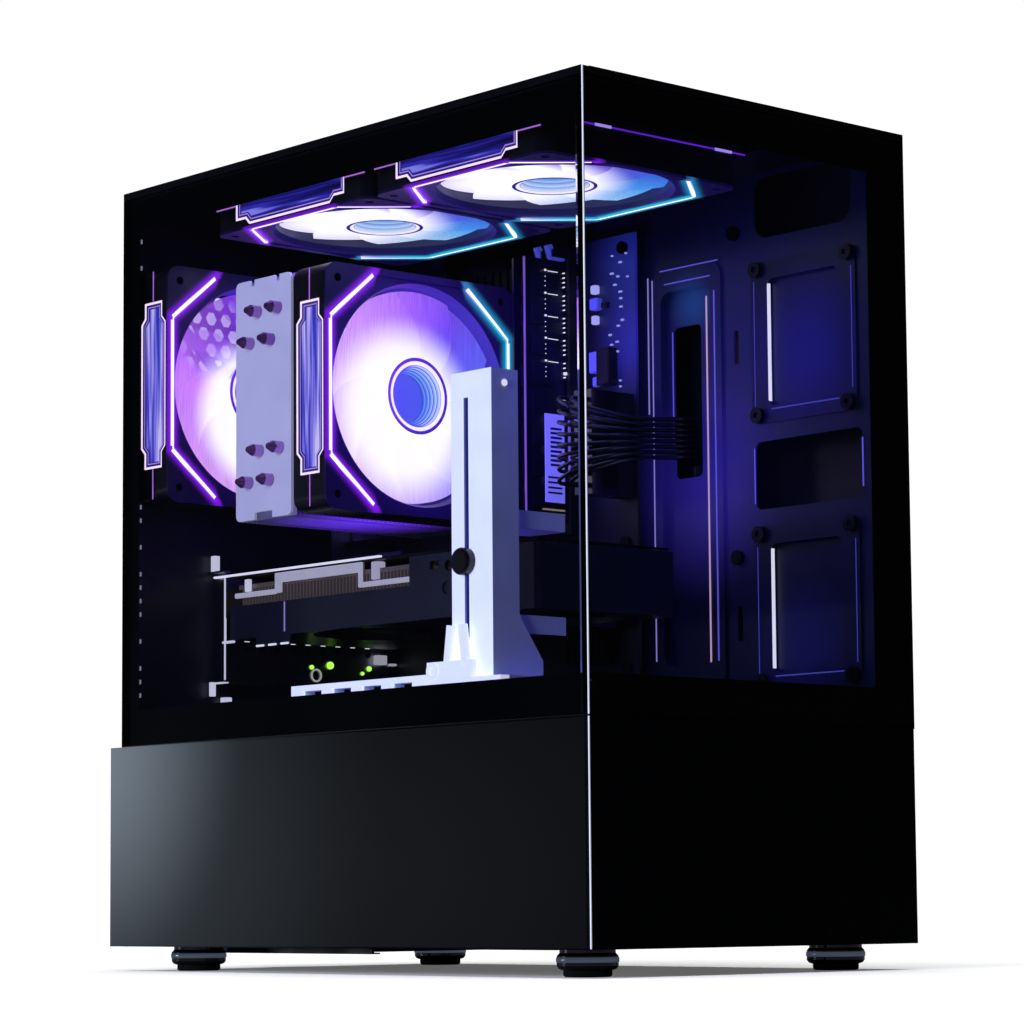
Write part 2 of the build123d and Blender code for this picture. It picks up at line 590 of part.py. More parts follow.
def heatsink_x(x0, x1, y, z, fins):
    """Block heatsink whose grooves run along Z and open towards the glass."""
    body = block((x0, x1), y, z)
    step = (max(y) - min(y)) / fins
    groove_x = (x0 - 1, x0 + (x1 - x0) * 0.55)
    groove_z = (min(z) - 1, max(z) + 1)
    for i in range(fins):
        y0 = min(y) + step * (i + 0.5)
        body -= block(groove_x, (y0 - step * 0.2, y0 + step * 0.2), groove_z)
    return body


def board_heatsinks():
    """Heatsinks on the regulators beside the socket, and on the chipset."""
    side = heatsink_x(BOARD_X - 22.0, BOARD_X, (108.0, 128.0), (245.0, 330.0), 4)
    top = heatsink_x(BOARD_X - 20.0, BOARD_X, (45.0, 98.0), (341.0, 355.0), 9)
    chip = heatsink_x(BOARD_X - 8.0, BOARD_X, (-4.0, 20.0), (150.0, 186.0), 5)
    return group([side, top, chip])


def ram_modules():
    """Two memory modules with their chips."""
    parts = []
    for y0 in RAM_Y:
        board = block((BOARD_X - 36.5, BOARD_X - 3.2), (y0 - 0.65, y0 + 0.65), RAM_Z)
        chips = []
        for i in range(8):
            z0 = RAM_Z[0] + 7.0 + i * 15.4
            chips.append(block((BOARD_X - 32, BOARD_X - 18), (y0 - 1.7, y0 - 0.6), (z0, z0 + 11)))
        parts.append(joined([board] + chips))
    return group(parts)


def ram_latches():
    """The two pivoting latches at the upper ends of the memory sockets."""
    latches = []
    for y0 in RAM_Y:
        outline = [(-18.6, 1.4), (-9.6, 1.4), (-9.6, 4.4), (-15.4, 4.4), (-18.6, 9.0), (-21.2, 8.0)]
        latch = extrude(make_face(Polyline(*outline, close=True)), 1.5, both=True)
        place = Plane(origin=(BOARD_X, y0, RAM_Z[1] - 0.9), x_dir=(1, 0, 0), z_dir=(0, -1, 0))
        latches.append(place * latch)
    return group(latches)


def m2_ssd():
    """Stick drive under the card, on the board."""
    z = (206.0, 220.0)
    board = block((BOARD_X - 3.4, BOARD_X - 2.6), (35.0, 115.0), z)
    chip_x = (BOARD_X - 5.0, BOARD_X - 3.4)
    chips = [block(chip_x, (42.0 + 20 * i, 56.0 + 20 * i), (208.0, 218.0)) for i in range(3)]
    post = block((BOARD_X - 2.6, BOARD_X), (108.0, 114.0), (208.0, 218.0))
    plug = block((BOARD_X - 2.6, BOARD_X), (35.0, 41.0), z)
    return joined([board, post, plug] + chips)


def rear_io_ports():
    """Port blocks along the board's rear edge, with shallow sockets in their faces."""
    parts = []
    for z0, tall, high in zip(PORT_Z, PORT_TALL, PORT_HIGH):
        x = (BOARD_X - high, BOARD_X)
        body = block(x, (WALL_Y - 22.0, WALL_Y - 1.2), (z0 - tall / 2, z0 + tall / 2))
        body -= block((x[0] + 2, x[1] - 3), (WALL_Y - 4.8, WALL_Y), (z0 - tall / 2 + 2, z0 + tall / 2 - 2))
        parts.append(body)
    return group(parts)


def io_shield():
    """Port plate in the rear wall's window."""
    plate = block((30.7, 75.8), (WALL_Y + 0.2, WALL_Y + 1.0), (203.7, 362.3))
    for z0, tall, high in zip(PORT_Z, PORT_TALL, PORT_HIGH):
        x = (BOARD_X - high + 1.5, BOARD_X - 2.5)
        plate -= block(x, (WALL_Y - 5, WALL_Y + 5), (z0 - tall / 2 + 1.5, z0 + tall / 2 - 1.5))
    return plate


def fasteners():
    """Standoffs, board screws, drive plate screws, power supply and fan screws."""
    parts = []
    for y0, z0 in standoff_places():
        post = Rot(0, 90, 0) * extrude(RegularPolygon(3.0, 6), 6.2 / 2, both=True)
        parts.append(Pos(BOARD_X + BOARD_T + 3.1 + 0.1, y0, z0) * post)
        parts.append(rod((BOARD_X - 1.1, y0, z0), 3.2, 2.0, "X"))
    for z0, z1 in ((260.5, 339.5), (132.0, 211.0)):
        for y0 in (-158.5, -99.5):
            for b in (z0 + 4.0, z1 - 4.0):
                washer = rod((TRAY_X - STEEL - 1.3, y0, b), 3.9, 2.4, "X")
                washer -= rod((TRAY_X - STEEL - 2.5, y0, b), 1.5, 2.0, "X")
                parts.append(washer)
    for y0, z0 in ((-84.0, 356.0), (-84.0, 197.0)):
        parts.append(rod((TRAY_X - 1.3, y0, z0), 3.6, 2.4, "X"))
    head_y = WALL_Y + WALL_T + 1.1
    for x0 in (-69.0, 69.0):
        for z0 in (PSU_Z + 6, PSU_Z + PSU_H - 6):
            parts.append(rod((x0, head_y, z0), 3.2, 2.0, "Y"))
    for dx in (-FAN_SCREW / 2, FAN_SCREW / 2):
        for dz in (-FAN_SCREW / 2, FAN_SCREW / 2):
            parts.append(rod((REAR_FAN[0] + dx, head_y, REAR_FAN[2] + dz), 3.4, 2.0, "Y"))
    for i in range(2):
        parts.append(rod((-43.5, head_y, 194.0 - 20.32 * i), 3.2, 2.0, "Y"))
    return group(parts)


# ---------------------------------------------------------------- tower cooler


def pipe_route(i):
    """Corner points of one U-shaped heat pipe: down one leg, through the base, up the other."""
    reach = PIPE_REACH[i // 2]
    top_y, low_y, base_y = PIPE_TOP_Y[i], PIPE_LOW_Y[i], PIPE_BASE_Y[i]
    end_x = PLATE_X - 5.0
    turn_x = PIPE_BASE_X - 16.0
    return [
        (end_x, top_y, CPU_Z + reach),
        (turn_x, top_y, CPU_Z + reach),
        (PIPE_BASE_X, base_y, CPU_Z + 15.0),
        (PIPE_BASE_X, base_y, CPU_Z - 15.0),
        (turn_x, low_y, CPU_Z - reach),
        (end_x, low_y, CPU_Z - reach),
    ]


def heat_pipe(i, radius, tips=True):
    """One heat pipe with rounded, pinched tips."""
    line = FilletPolyline(*pipe_route(i), radius=7.0)
    start = Plane(origin=line @ 0, z_dir=line % 0)
    tube = sweep(start * Circle(radius), path=line)
    if not tips:
        return tube
    ends = [pipe_route(i)[0], pipe_route(i)[-1]]
    caps = [Pos(*end) * Rot(0, -90, 0) * extrude(Circle(radius), 3.0, taper=28) for end in ends]
    return joined([tube] + caps)


def heat_pipes():
    return group([heat_pipe(i, PIPE_R) for i in range(4)])


def pipe_holes(shape):
    """Bores for the pipe legs through anything stacked on them."""
    for i in range(4):
        reach = PIPE_REACH[i // 2]
        middle = (FIN_X[0] + FIN_X[1]) / 2
        length = FIN_X[1] - FIN_X[0] + 40
        shape -= rod((middle, PIPE_TOP_Y[i], CPU_Z + reach), PIPE_R + 0.15, length, "X")
        shape -= rod((middle, PIPE_LOW_Y[i], CPU_Z - reach), PIPE_R + 0.15, length, "X")
    return shape


def fin_stack():
    """Thin fins on the pipes, held at pitch by the folded strips at their corners."""
    one = pipe_holes(block((0, FIN_T), FIN_Y, FIN_Z).moved(Pos(FIN_X[0], 0, 0)))
    count = int((FIN_X[1] - FIN_X[0]) / FIN_PITCH) + 1
    fins = [Pos(FIN_PITCH * i, 0, 0) * one for i in range(count)]
    end = FIN_X[0] + FIN_PITCH * (count - 1) + FIN_T
    strips = []
    for z0 in (FIN_Z[0], FIN_Z[1] - 0.6):
        for y0 in (FIN_Y[0] + 4, FIN_Y[1] - 8):
            strips.append(block((FIN_X[0], end), (y0, y0 + 4), (z0, z0 + 0.6)))
    return joined(fins + strips)


def cooler_top_plate():
    """Pale cover plate over the last fin, notched at its ends."""
    plate = plate_x(PLATE_X, PLATE_X + 1.4, FIN_Y, FIN_Z, 3.0)
    plate = pipe_holes(plate)
    rim_x, rim_z = (PLATE_X, FIN_X[0] - 0.1), (FIN_Z[0] + 6, FIN_Z[1] - 6)
    rim = [block(rim_x, (y0, y0 + 1.2), rim_z) for y0 in (FIN_Y[0], FIN_Y[1] - 1.2)]
    plate = joined([plate] + rim)
    plate -= block((PLATE_X - 1, PLATE_X + 5), (70, 84), (FIN_Z[0] - 1, FIN_Z[0] + 3.5))
    plate -= block((PLATE_X - 1, PLATE_X + 5), (64, 68), (FIN_Z[1] - 3, FIN_Z[1] + 1))
    plate -= block((PLATE_X - 1, PLATE_X + 5), (84, 88), (FIN_Z[1] - 3, FIN_Z[1] + 1))
    return plate


def cooler_base():
    """Contact block under the pipes and the cross bar that screws it down."""
    y, z = (CPU_Y - 18.0, CPU_Y + 18.0), (CPU_Z - 17.0, CPU_Z + 17.0)
    base = block((PIPE_BASE_X - 4.5, BOARD_X - 5.0), y, z)
    for i in range(4):
        base -= heat_pipe(i, PIPE_R + 0.15, tips=False)
    bar = block((BOARD_X - 7.5, BOARD_X - 5.2), (CPU_Y - 5, CPU_Y + 5), (CPU_Z - 44, CPU_Z + 44))
    ends = []
    for z0 in (CPU_Z - 39, CPU_Z + 39):
        ends.append(rod((BOARD_X - 6.0, CPU_Y, z0), 3.6, 11.8, "X"))
    return joined([base, bar] + ends)


# ---------------------------------------------------------------- graphics card


def gpu_board():
    board = block((-34.0, BOARD_X - 11.5), (-20.0, 160.0), (CARD_Z - 0.8, CARD_Z + 0.8))
    edge = block((BOARD_X - 11.6, BOARD_X - 5.0), (27.0, 111.0), (CARD_Z - 0.8, CARD_Z + 0.8))
    return joined([board, edge])


def gpu_backplate():
    """Stiff plate above the card's board."""
    x, y = (CARD_OUT + 1.0, BOARD_X - 14.0), (CARD_END + 1.0, WALL_Y - 14.0)
    z = (CARD_Z + 2.6, CARD_Z + 3.6)
    plate = block(x, (CARD_STEP_Y, y[1]), z)
    nose = block((x[0], CARD_NARROW_X - 2), (y[0], CARD_STEP_Y + 1), z)
    plate = joined([plate, nose])
    for i in range(6):
        plate -= slot_cut((-30 + 8 * i, -60.0, z[0]), 3.6, 44.0, 8.0, "Z")
    post_z = (CARD_Z + 0.8, CARD_Z + 2.6)
    posts = [block((x0, x0 + 4), (y0, y0 + 4), post_z) for x0 in (-32, 48) for y0 in (-15, 140)]
    return joined([plate] + posts)


def gpu_heatsink():
    """Finned block under the card: a comb of fins below a base plate, edged by a pale stepped side bar."""
    top = CARD_Z - 1.4
    base_t, floor = 2.2, SHROUD_Z1 + 0.4
    pitch, thick = 2.6, 0.8
    x = (CARD_OUT + 2.0, 24.0)
    y0, y1 = NOSE_Y + 0.5, CARD_REAR - 5.0
    parts = [block(x, (y0, y1), (top - base_t, top))]
    for i in range(int((y1 - y0) / pitch)):
        start = y0 + pitch * i
        parts.append(block(x, (start, start + thick), (floor, top - base_t)))
    return joined(parts + [side_bar(y0)])


def side_bar(y_front):
    """Stepped strip along the outer ends of the fins."""
    rear, step_rear, step_front = SIDE_BAR_Y
    low, high, front = SIDE_BAR_Z
    bar = 2.5
    outline = [(y_front, front), (step_front, front), (step_front, high), (step_rear, high)]
    outline += [(step_rear, low), (rear, low), (rear, low - bar), (step_rear - bar, low - bar)]
    outline += [(step_rear - bar, high - 2 * bar)]
    outline += [(step_front + bar, high - 2 * bar), (step_front + bar, front - bar), (y_front, front - bar)]
    strip = extrude(make_face(Polyline(*outline, close=True)), 1.0)
    return Plane(origin=(CARD_OUT + 1.0, 0, 0), x_dir=(0, 1, 0), z_dir=(1, 0, 0)) * strip


def gpu_shroud():
    """Plastic housing of the card's fans: narrow in front, full width behind, with a closed nose."""
    z = (SHROUD_Z0, SHROUD_Z1)
    front = block((CARD_OUT, CARD_NARROW_X), (CARD_END, CARD_STEP_Y + 1), z)
    rear = block((CARD_OUT, CARD_WIDE_X), (CARD_STEP_Y, CARD_REAR), z)
    nose = block((CARD_OUT, CARD_NARROW_X), (CARD_END, NOSE_Y), (SHROUD_Z1 - 1, NOSE_TOP))
    inside_x = (CARD_OUT + NOSE_WALL, CARD_NARROW_X + 1)
    nose -= block(inside_x, (CARD_END + NOSE_WALL, NOSE_Y + 1), (SHROUD_Z1 - 2, NOSE_TOP + 1))
    body = joined([front, rear, nose])
    body = chamfer(body.edges().filter_by(Axis.Z).sort_by(Axis.Y)[:1], 2.5)
    body -= plate_x(CARD_OUT - 1, CARD_OUT + 5, (-9.0, -16.0), (189.5, 193.5), 1.0)
    body -= rod((CARD_OUT, -22.5, 190.5), 2.6, 8.0, "X")
    body -= rod((CARD_OUT, -21.0, 180.0), 3.0, 2.0, "X")
    for y0 in CARD_FAN_Y:
        body -= rod((CARD_FAN_X, y0, SHROUD_Z0 + 6.0), CARD_FAN_R + 1.2, 14.0)
        body -= rod((CARD_FAN_X, y0, SHROUD_Z1), CARD_FAN_R - 4.0, 12.0)
        hub = Pos(CARD_FAN_X, y0, SHROUD_Z1 - 2)
        arms = [hub * Rot(0, 0, 60 * i) * Box(2 * CARD_FAN_R - 4, 5, 4) for i in range(3)]
        seat = hub * Cylinder(13.0, 4.0)
        shaft = rod((CARD_FAN_X, y0, SHROUD_Z0 + 11.5), SHAFT_R, 11.0)
        body = joined([body, seat, shaft] + arms)
    return body


def gpu_bracket():
    """Two-slot steel bracket at the rear wall."""
    low, high = CARD_Z - 50.0, CARD_Z + 6.0
    plate = block((CARD_OUT + 3.0, 68.0), (WALL_Y - 1.2, WALL_Y - 0.2), (low, high))
    for i in range(3):
        plate -= block((28 - 24 * i, 44 - 24 * i), (WALL_Y - 5, WALL_Y + 5), (CARD_Z - 10.0, CARD_Z - 3.5))
    for i in range(9):
        plate -= slot_cut((-26 + 10 * i, WALL_Y, CARD_Z - 25.0), 4.0, 16.0, 10.0, "Y")
    edge = block((CARD_OUT + 2.0, CARD_OUT + 3.0), (WALL_Y - 9.0, WALL_Y - 0.2), (low, high))
    tab_x, tab_y = (CARD_OUT - 2.0, CARD_OUT + 3.0), (WALL_Y - 12.0, WALL_Y - 0.2)
    return joined([plate, edge] + [block(tab_x, tab_y, (z0, z0 + 1)) for z0 in (low, high)])


def gpu_fan_rotor():
    return fan_rotor(14.0, CARD_FAN_R - 0.8, 11, 9.0, blade_t=1.2, chord=12.5, pitch=30.0)


# ---------------------------------------------------------------- card stand


def stand_base():
    """Foot of the card stand: a slotted rail on the shroud, a cross foot and a pair of clamp prongs."""
    z = (SHROUD_Z, SHROUD_Z + 5.0)
    rail = block((-92.0, -84.0), (-70.0, 41.0), (SHROUD_Z + 3.0, SHROUD_Z + 8.0))
    for i in range(4):
        y0 = -48.0 + 22 * i
        rail -= block((-95.0, -80.0), (y0, y0 + 15.0), (SHROUD_Z + 2.0, SHROUD_Z + 5.4))
    runner = block((-92.0, -84.0), (-70.0, 41.0), (SHROUD_Z, SHROUD_Z + 3.0))
    foot = block((-95.0, -60.0), (-112.0, -64.0), z)
    cross = block((-61.0, -38.0), (-112.0, -92.0), z)
    hub = rod((-93.0, -66.0, SHROUD_Z + 9.0), 4.0, 5.0, "X")
    hub -= rod((-93.0, -66.0, SHROUD_Z + 9.0), 2.0, 8.0, "X")
    saddle = block((-95.0, -91.5), (-92.0, -62.0), (SHROUD_Z + 5.0, SHROUD_Z + 13.0))
    prongs = []
    for y0, lean in ((-86.0, -8.0), (-76.0, 8.0)):
        prongs.append(Pos(-93.2, y0, SHROUD_Z + 20.0) * Rot(lean, 0, 0) * Cylinder(2.3, 18.0))
    return joined([runner, rail, foot, cross, saddle, hub] + prongs)


def stand_pillar():
    """Upright square tube of the card stand, slotted on both working sides, flared at its foot."""
    pillar = block(PILLAR_X, PILLAR_Y, PILLAR_Z)
    wall = 1.4
    inner_x = (PILLAR_X[0] + wall, PILLAR_X[1] + 1.0)
    inner_y = (PILLAR_Y[0] + wall, PILLAR_Y[1] - wall)
    pillar -= block(inner_x, inner_y, (PILLAR_Z[0] - 1, PILLAR_Z[1] - wall))
    slot = (PILLAR_Z[0] + 18, 258.7)
    pillar -= block((PILLAR_X[0] - 5, PILLAR_X[0] + 5), (SLOT_Y - SLOT_W / 2, SLOT_Y + SLOT_W / 2), slot)
    outline = [(PILLAR_X[1], 160), (PILLAR_X[1], PILLAR_Z[0]), (-60, PILLAR_Z[0]), (-60, 140)]
    flare = extrude(make_face(Polyline(*outline, close=True)), wall)
    flare = Plane(origin=(0, PILLAR_Y[0] + wall, 0), x_dir=(1, 0, 0), z_dir=(0, -1, 0)) * flare
    return joined([pillar, flare])


def stand_arm(z0, up):
    """Arm of the card stand: a tongue inside the pillar with a shelf that reaches to the card."""
    x_in = (PILLAR_X[0] + 2.0, PILLAR_X[1] + 0.5)
    y_in = (PILLAR_Y[0] + 2.0, PILLAR_Y[1] - 2.0)
    tongue = block((x_in[0], x_in[0] + 2.0), y_in, (z0 - 9.0, z0 + 9.0))
    shelf = block((x_in[0], ARM_TIP_X), y_in, (z0 - 1.2, z0 + 1.2))
    z_edge = (z0 - 1.2, z0 + 7.0) if up else (z0 - 7.0, z0 + 1.2)
    edge = block((PILLAR_X[1] + 1.0, ARM_TIP_X), (y_in[0], y_in[0] + 1.6), z_edge)
    return joined([tongue, shelf, edge])


def stand_knob():
    """Round clamp nut on the pillar's slot."""
    cap = rod((PILLAR_X[0] - 2.6, SLOT_Y, KNOB_Z), 6.2, 4.6, "X")
    cap = fillet(cap.edges().filter_by(GeomType.CIRCLE).sort_by(Axis.X)[0], 1.6)
    stem = rod((PILLAR_X[0] + 0.6, SLOT_Y, KNOB_Z), 1.3, 2.4, "X")
    return joined([cap, stem])


# ---------------------------------------------------------------- power supply


def psu_housing():
    """Steel box, open below over its fan and slotted at the rear, with the mains inlet in its back."""
    x, y, z = (-PSU_W / 2, PSU_W / 2), (PSU_Y, WALL_Y), (PSU_Z, PSU_Z + PSU_H)
    box = block(x, y, z)
    box -= block((x[0] + 1, x[1] - 1), (y[0] + 1, y[1] - 1), (z[0] + 1, z[1] - 1))
    fan_y = sum(y) / 2
    box -= rod((0, fan_y, PSU_Z), 60.0, 4)
    guard_z = PSU_Z + 0.5
    for i in range(5):
        ring = rod((0, fan_y, guard_z), 16.0 + 11.0 * i, 1.0)
        box = joined([box, ring - rod((0, fan_y, guard_z), 14.4 + 11.0 * i, 4.0)])
    spokes = [Pos(0, fan_y, guard_z) * Rot(0, 0, 45 + 90 * i) * Box(122, 2, 1) for i in range(2)]
    carriers = [Pos(0, fan_y, PSU_Z + 22.0) * Box(*size, 3) for size in ((148, 7), (7, 138))]
    shaft = rod((0, fan_y, PSU_Z + 16.0), SHAFT_R, 12.0)
    box = joined([box, shaft] + spokes + carriers)
    inlet = (-30.0, z[0] + 60.0)
    x0, z0 = -30.0, z[0] + 60.0  # middle of the mains inlet
    core = block((x0 - 16, x0 + 16), (WALL_Y - 20, WALL_Y), (z0 - 13, z0 + 13))
    box = joined([box, core])
    box -= block((x0 - 12.2, x0 + 12.2), (WALL_Y - 16, WALL_Y + 1), (z0 - 8.2, z0 + 8.2))
    for a, b in ((x0 - 7, z0 + 2), (x0 + 7, z0 + 2), (x0, z0 - 3)):
        box = joined([box, block((a - 1, a + 1), (WALL_Y - 17, WALL_Y - 6), (b - 2, b + 2))])
    switch = block((SWITCH_X - 8, SWITCH_X + 8), (WALL_Y - 9, WALL_Y), (SWITCH_Z - 12, SWITCH_Z + 12))
    box = joined([box, switch])
    hole_z = (SWITCH_Z - 9.6, SWITCH_Z + 9.6)
    box -= block((SWITCH_X - 5.5, SWITCH_X + 5.5), (WALL_Y - 7.5, WALL_Y + 1), hole_z)
    for i in range(9):
        for j in range(3):
            box -= slot_cut((-60 + 15 * i, WALL_Y, PSU_Z + 12 + 11 * j), 4.0, 9.0, 6.0, "Y")
    return box


def psu_switch():
    """Rocker of the mains switch, pressed in at its lower end."""
    outline = Polyline((-3.0, -8.6), (1.4, -8.6), (-0.4, 0), (1.4, 8.6), (-3.0, 8.6), close=True)
    rocker = extrude(make_face(outline), 4.9, both=True)
    rocker = Plane(origin=(0, 0, 0), x_dir=(0, 1, 0), z_dir=(1, 0, 0)) * rocker
    return Pos(SWITCH_X, SWITCH_Y, SWITCH_Z) * Rot(-SWITCH_TILT, 0, 0) * rocker


def psu_fan_rotor():
    rotor = fan_rotor(20.0, 56.0, 7, 14.0, chord=22.0, pitch=28.0)
    return Pos(0, PSU_Y + PSU_L / 2, PSU_Z + 12.0) * Rot(180, 0, 0) * rotor


# ---------------------------------------------------------------- main power cable


def arc_radii(points):
    """The largest radius that each corner of a route has room for."""
    found = []
    for before, at, after in zip(points, points[1:], points[2:]):
        leg_in = Vector(*at) - Vector(*before)
        leg_out = Vector(*after) - Vector(*at)
        half_turn = math.radians(leg_in.get_angle(leg_out)) / 2
        found.append(0.45 * min(leg_in.length, leg_out.length) / math.tan(half_turn))
    return found


def tube(points, radius):
    """A round tube of straight runs joined by tangent arcs."""
    line = FilletPolyline(*points, radius=arc_radii(points))
    start = Plane(origin=line @ 0, z_dir=line % 0)
    return sweep(start * Circle(radius), path=line)


def wire_route(row, col):
    """One wire of the board cable: out of the plug, down in a bow and through the tray."""
    z_plug = PLUG_Z[0] + 4.5 + 6.1 * col
    y_plug = (PLUG_Y[0] + 2.6, PLUG_Y[1] - 2.6)[row]
    z_hole = 250.0 + 2.7 * col
    y_hole = (-50.0, -45.5)[row]
    out = 11.0 + 5.0 * row
    z_mid = z_plug + (z_hole - z_plug) * 0.45
    return [
        (BOARD_X - 29.0, y_plug, z_plug),
        (BOARD_X - 29.0 - out, y_plug - 0.5, z_plug),
        (BOARD_X - 31.0 - out, y_plug - 13.0, z_mid - 2.0),
        (BOARD_X - 14.0 - out, y_hole + 2.0, z_hole - 3.0),
        (TRAY_X - 11.0, y_hole, z_hole - 1.0),
        (TRAY_X + 6.0, y_hole - 0.5, z_hole),
    ]


def cable_24pin():
    """Plug of the board's main power cable with its wires up to the back of the tray."""
    plug = block((BOARD_X - 29.0, BOARD_X - 12.1), PLUG_Y, PLUG_Z)
    wires = []
    for row in range(2):
        for col in range(8):
            wires.append(tube(wire_route(row, col), WIRE_R))
    return group([plug] + wires)


def cable_trunk():
    """Taped trunk of the same cable: down behind the tray, through it and on to the power supply."""
    x_back = TRAY_X + 11.0
    points = [
        (x_back, -47.5, 246.0),
        (x_back, -47.0, 200.0),
        (x_back + 1.0, -44.0, 160.0),
        (x_back, -34.0, 128.0),
        (x_back - 10.0, -28.0, 111.0),
        (x_back - 28.0, -20.0, 103.0),
        (44.0, -9.0, 88.0),
        (36.0, 4.0, 76.0),
        (36.0, PSU_Y - 0.6, 74.0),
    ]
    return tube(points, TRUNK_R)


# ---------------------------------------------------------------- all nodes


def nodes():
    """Every node's name with its shape."""
    made = {
        "base_pan": base_pan(),
        "rear_wall": rear_wall(),
        "motherboard_tray": motherboard_tray(),
        "ssd_plates": ssd_plates(),
        "top_frame": top_frame(),
        "top_cover": top_cover(),
        "top_filter": top_filter(),
        "front_skirt": front_skirt(),
        "side_skirt": side_skirt(),
        "psu_shroud": psu_shroud(),
        "side_glass": side_glass(),
        "front_glass": front_glass(),
        "right_panel": right_panel(),
        "thumb_screws": thumb_screws(),
        "feet": feet(),
        "foot_pads": foot_pads(),
        "base_filter": base_filter(),
        "io_module": io_module(),
        "io_ports": io_ports(),
        "power_button": button(POWER_Y, POWER_R),
        "reset_button": button(RESET_Y, RESET_R),
        "motherboard": motherboard(),
        "board_sockets": board_sockets(),
        "board_heatsinks": board_heatsinks(),
        "ram_modules": ram_modules(),
        "m2_ssd": m2_ssd(),
        "rear_io_ports": rear_io_ports(),
        "io_shield": io_shield(),
        "fasteners": fasteners(),
        "heat_pipes": heat_pipes(),
        "fin_stack": fin_stack(),
        "cooler_top_plate": cooler_top_plate(),
        "cooler_base": cooler_base(),
        "gpu_board": gpu_board(),
        "gpu_backplate": gpu_backplate(),
        "gpu_heatsink": gpu_heatsink(),
        "gpu_shroud": gpu_shroud(),
        "gpu_bracket": gpu_bracket(),
        "stand_base": stand_base(),
        "stand_pillar": stand_pillar(),
        "stand_arm_lower": stand_arm(ARM_Z[0], up=False),
        "stand_arm_upper": stand_arm(ARM_Z[1], up=True),
        "stand_knob": stand_knob(),
        "psu_housing": psu_housing(),
        "psu_switch": psu_switch(),
        "psu_fan_rotor": psu_fan_rotor(),
        "cable_24pin": cable_24pin(),
        "cable_trunk": cable_trunk(),
        "ram_latches": ram_latches(),
    }
    frame, rotor = fan_frame(), case_fan_rotor()
    places = {
        "cpu_fan": fan_place(CPU_FAN, "-Y"),
        "rear_fan": fan_place(REAR_FAN, "-Y"),
        "top_fan_front": fan_place(TOP_FAN_FRONT, "-Z"),
        "top_fan_rear": fan_place(TOP_FAN_REAR, "-Z"),
    }
    for name, place in places.items():
        made[name + "_frame"] = place * frame
        made[name + "_rotor"] = place * rotor
    made["fan_lights"] = group([place * s for place in places.values() for s in fan_lights()])
    card_rotor = gpu_fan_rotor()
    for name, y0 in zip(("front", "rear"), CARD_FAN_Y):
        made["gpu_fan_rotor_" + name] = Pos(CARD_FAN_X, y0, SHROUD_Z0 + 6.0) * Rot(180, 0, 0) * card_rotor
    return made


def main():
    os.makedirs("parts", exist_ok=True)
    for name, shape in nodes().items():
        export_step(shape, f"parts/{name}.step")


main()
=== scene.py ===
"""A desktop computer tower with two glass sides, lit from inside, on a plain pale floor."""

import math

import bpy
from mathutils import Matrix, Vector


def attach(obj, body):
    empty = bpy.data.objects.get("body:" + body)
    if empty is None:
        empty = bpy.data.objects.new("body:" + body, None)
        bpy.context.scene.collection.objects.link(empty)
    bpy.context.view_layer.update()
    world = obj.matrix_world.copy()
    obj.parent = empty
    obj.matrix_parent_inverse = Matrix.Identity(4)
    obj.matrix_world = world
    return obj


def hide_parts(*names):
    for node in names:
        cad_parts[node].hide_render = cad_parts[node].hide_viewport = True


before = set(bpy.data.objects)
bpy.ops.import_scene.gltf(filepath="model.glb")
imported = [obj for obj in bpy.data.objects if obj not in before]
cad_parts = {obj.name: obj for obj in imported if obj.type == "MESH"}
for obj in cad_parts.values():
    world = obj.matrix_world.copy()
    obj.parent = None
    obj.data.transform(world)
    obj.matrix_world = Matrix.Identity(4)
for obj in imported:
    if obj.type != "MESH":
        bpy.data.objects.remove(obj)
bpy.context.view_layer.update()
MM = 0.001

# Sizes in millimetres, as the frame has them.
LEFT, RIGHT, FRONT, GLASS_BACK = -103.5, 103.5, -176.0, 166.0
SEAM, TOP = 111.0, 392.0
CPU_FAN = (-21.0, 40.5, 280.0)
REAR_FAN = (-34.0, 151.0, 293.0)
TOP_FRONT = (-30.0, -78.0, 374.5)
TOP_REAR = (-30.0, 45.0, 374.5)
HUB_RADIUS, WEB_ROOT, WEB_TIP = 19, 18.2, 52.4
OCTAGON_SIDE, OCTAGON_RISE, OCTAGON_SLANT = 57.0, 33.6, (0.647, 0.763)
DUCT_EDGE = (54.9, 55.6)
FOOT_SPOTS = [(x, y) for x in (-78.5, 78.5) for y in (-147.0, 135.0)]
FACES_FRONT = (math.radians(90), 0, 0)
FACES_DOWN = (math.radians(180), 0, 0)
FANS = {
    "cpu_fan": (CPU_FAN, FACES_FRONT, "cpu_fan_spinner"),
    "rear_fan": (REAR_FAN, FACES_FRONT, "rear_fan_spinner"),
    "top_fan_front": (TOP_FRONT, FACES_DOWN, "top_front_spinner"),
    "top_fan_rear": (TOP_REAR, FACES_DOWN, "top_rear_spinner"),
}


# ---------------------------------------------------------------- hands


def clear():
    """Nothing selected, nothing being edited."""
    if bpy.context.object and bpy.context.object.mode != "OBJECT":
        bpy.ops.object.mode_set(mode="OBJECT")
    bpy.ops.object.select_all(action="DESELECT")


def hold(piece):
    """Only this piece selected and active."""
    clear()
    piece.select_set(True)
    bpy.context.view_layer.objects.active = piece


def settle(name, finishes=()):
    """Names the new primitive, paints it and freezes its place into its mesh."""
    bpy.ops.object.transform_apply(location=True, rotation=True, scale=True)
    piece = bpy.context.object
    piece.name = name
    piece.data.name = name
    for finish in finishes:
        piece.data.materials.append(finish)
    return piece


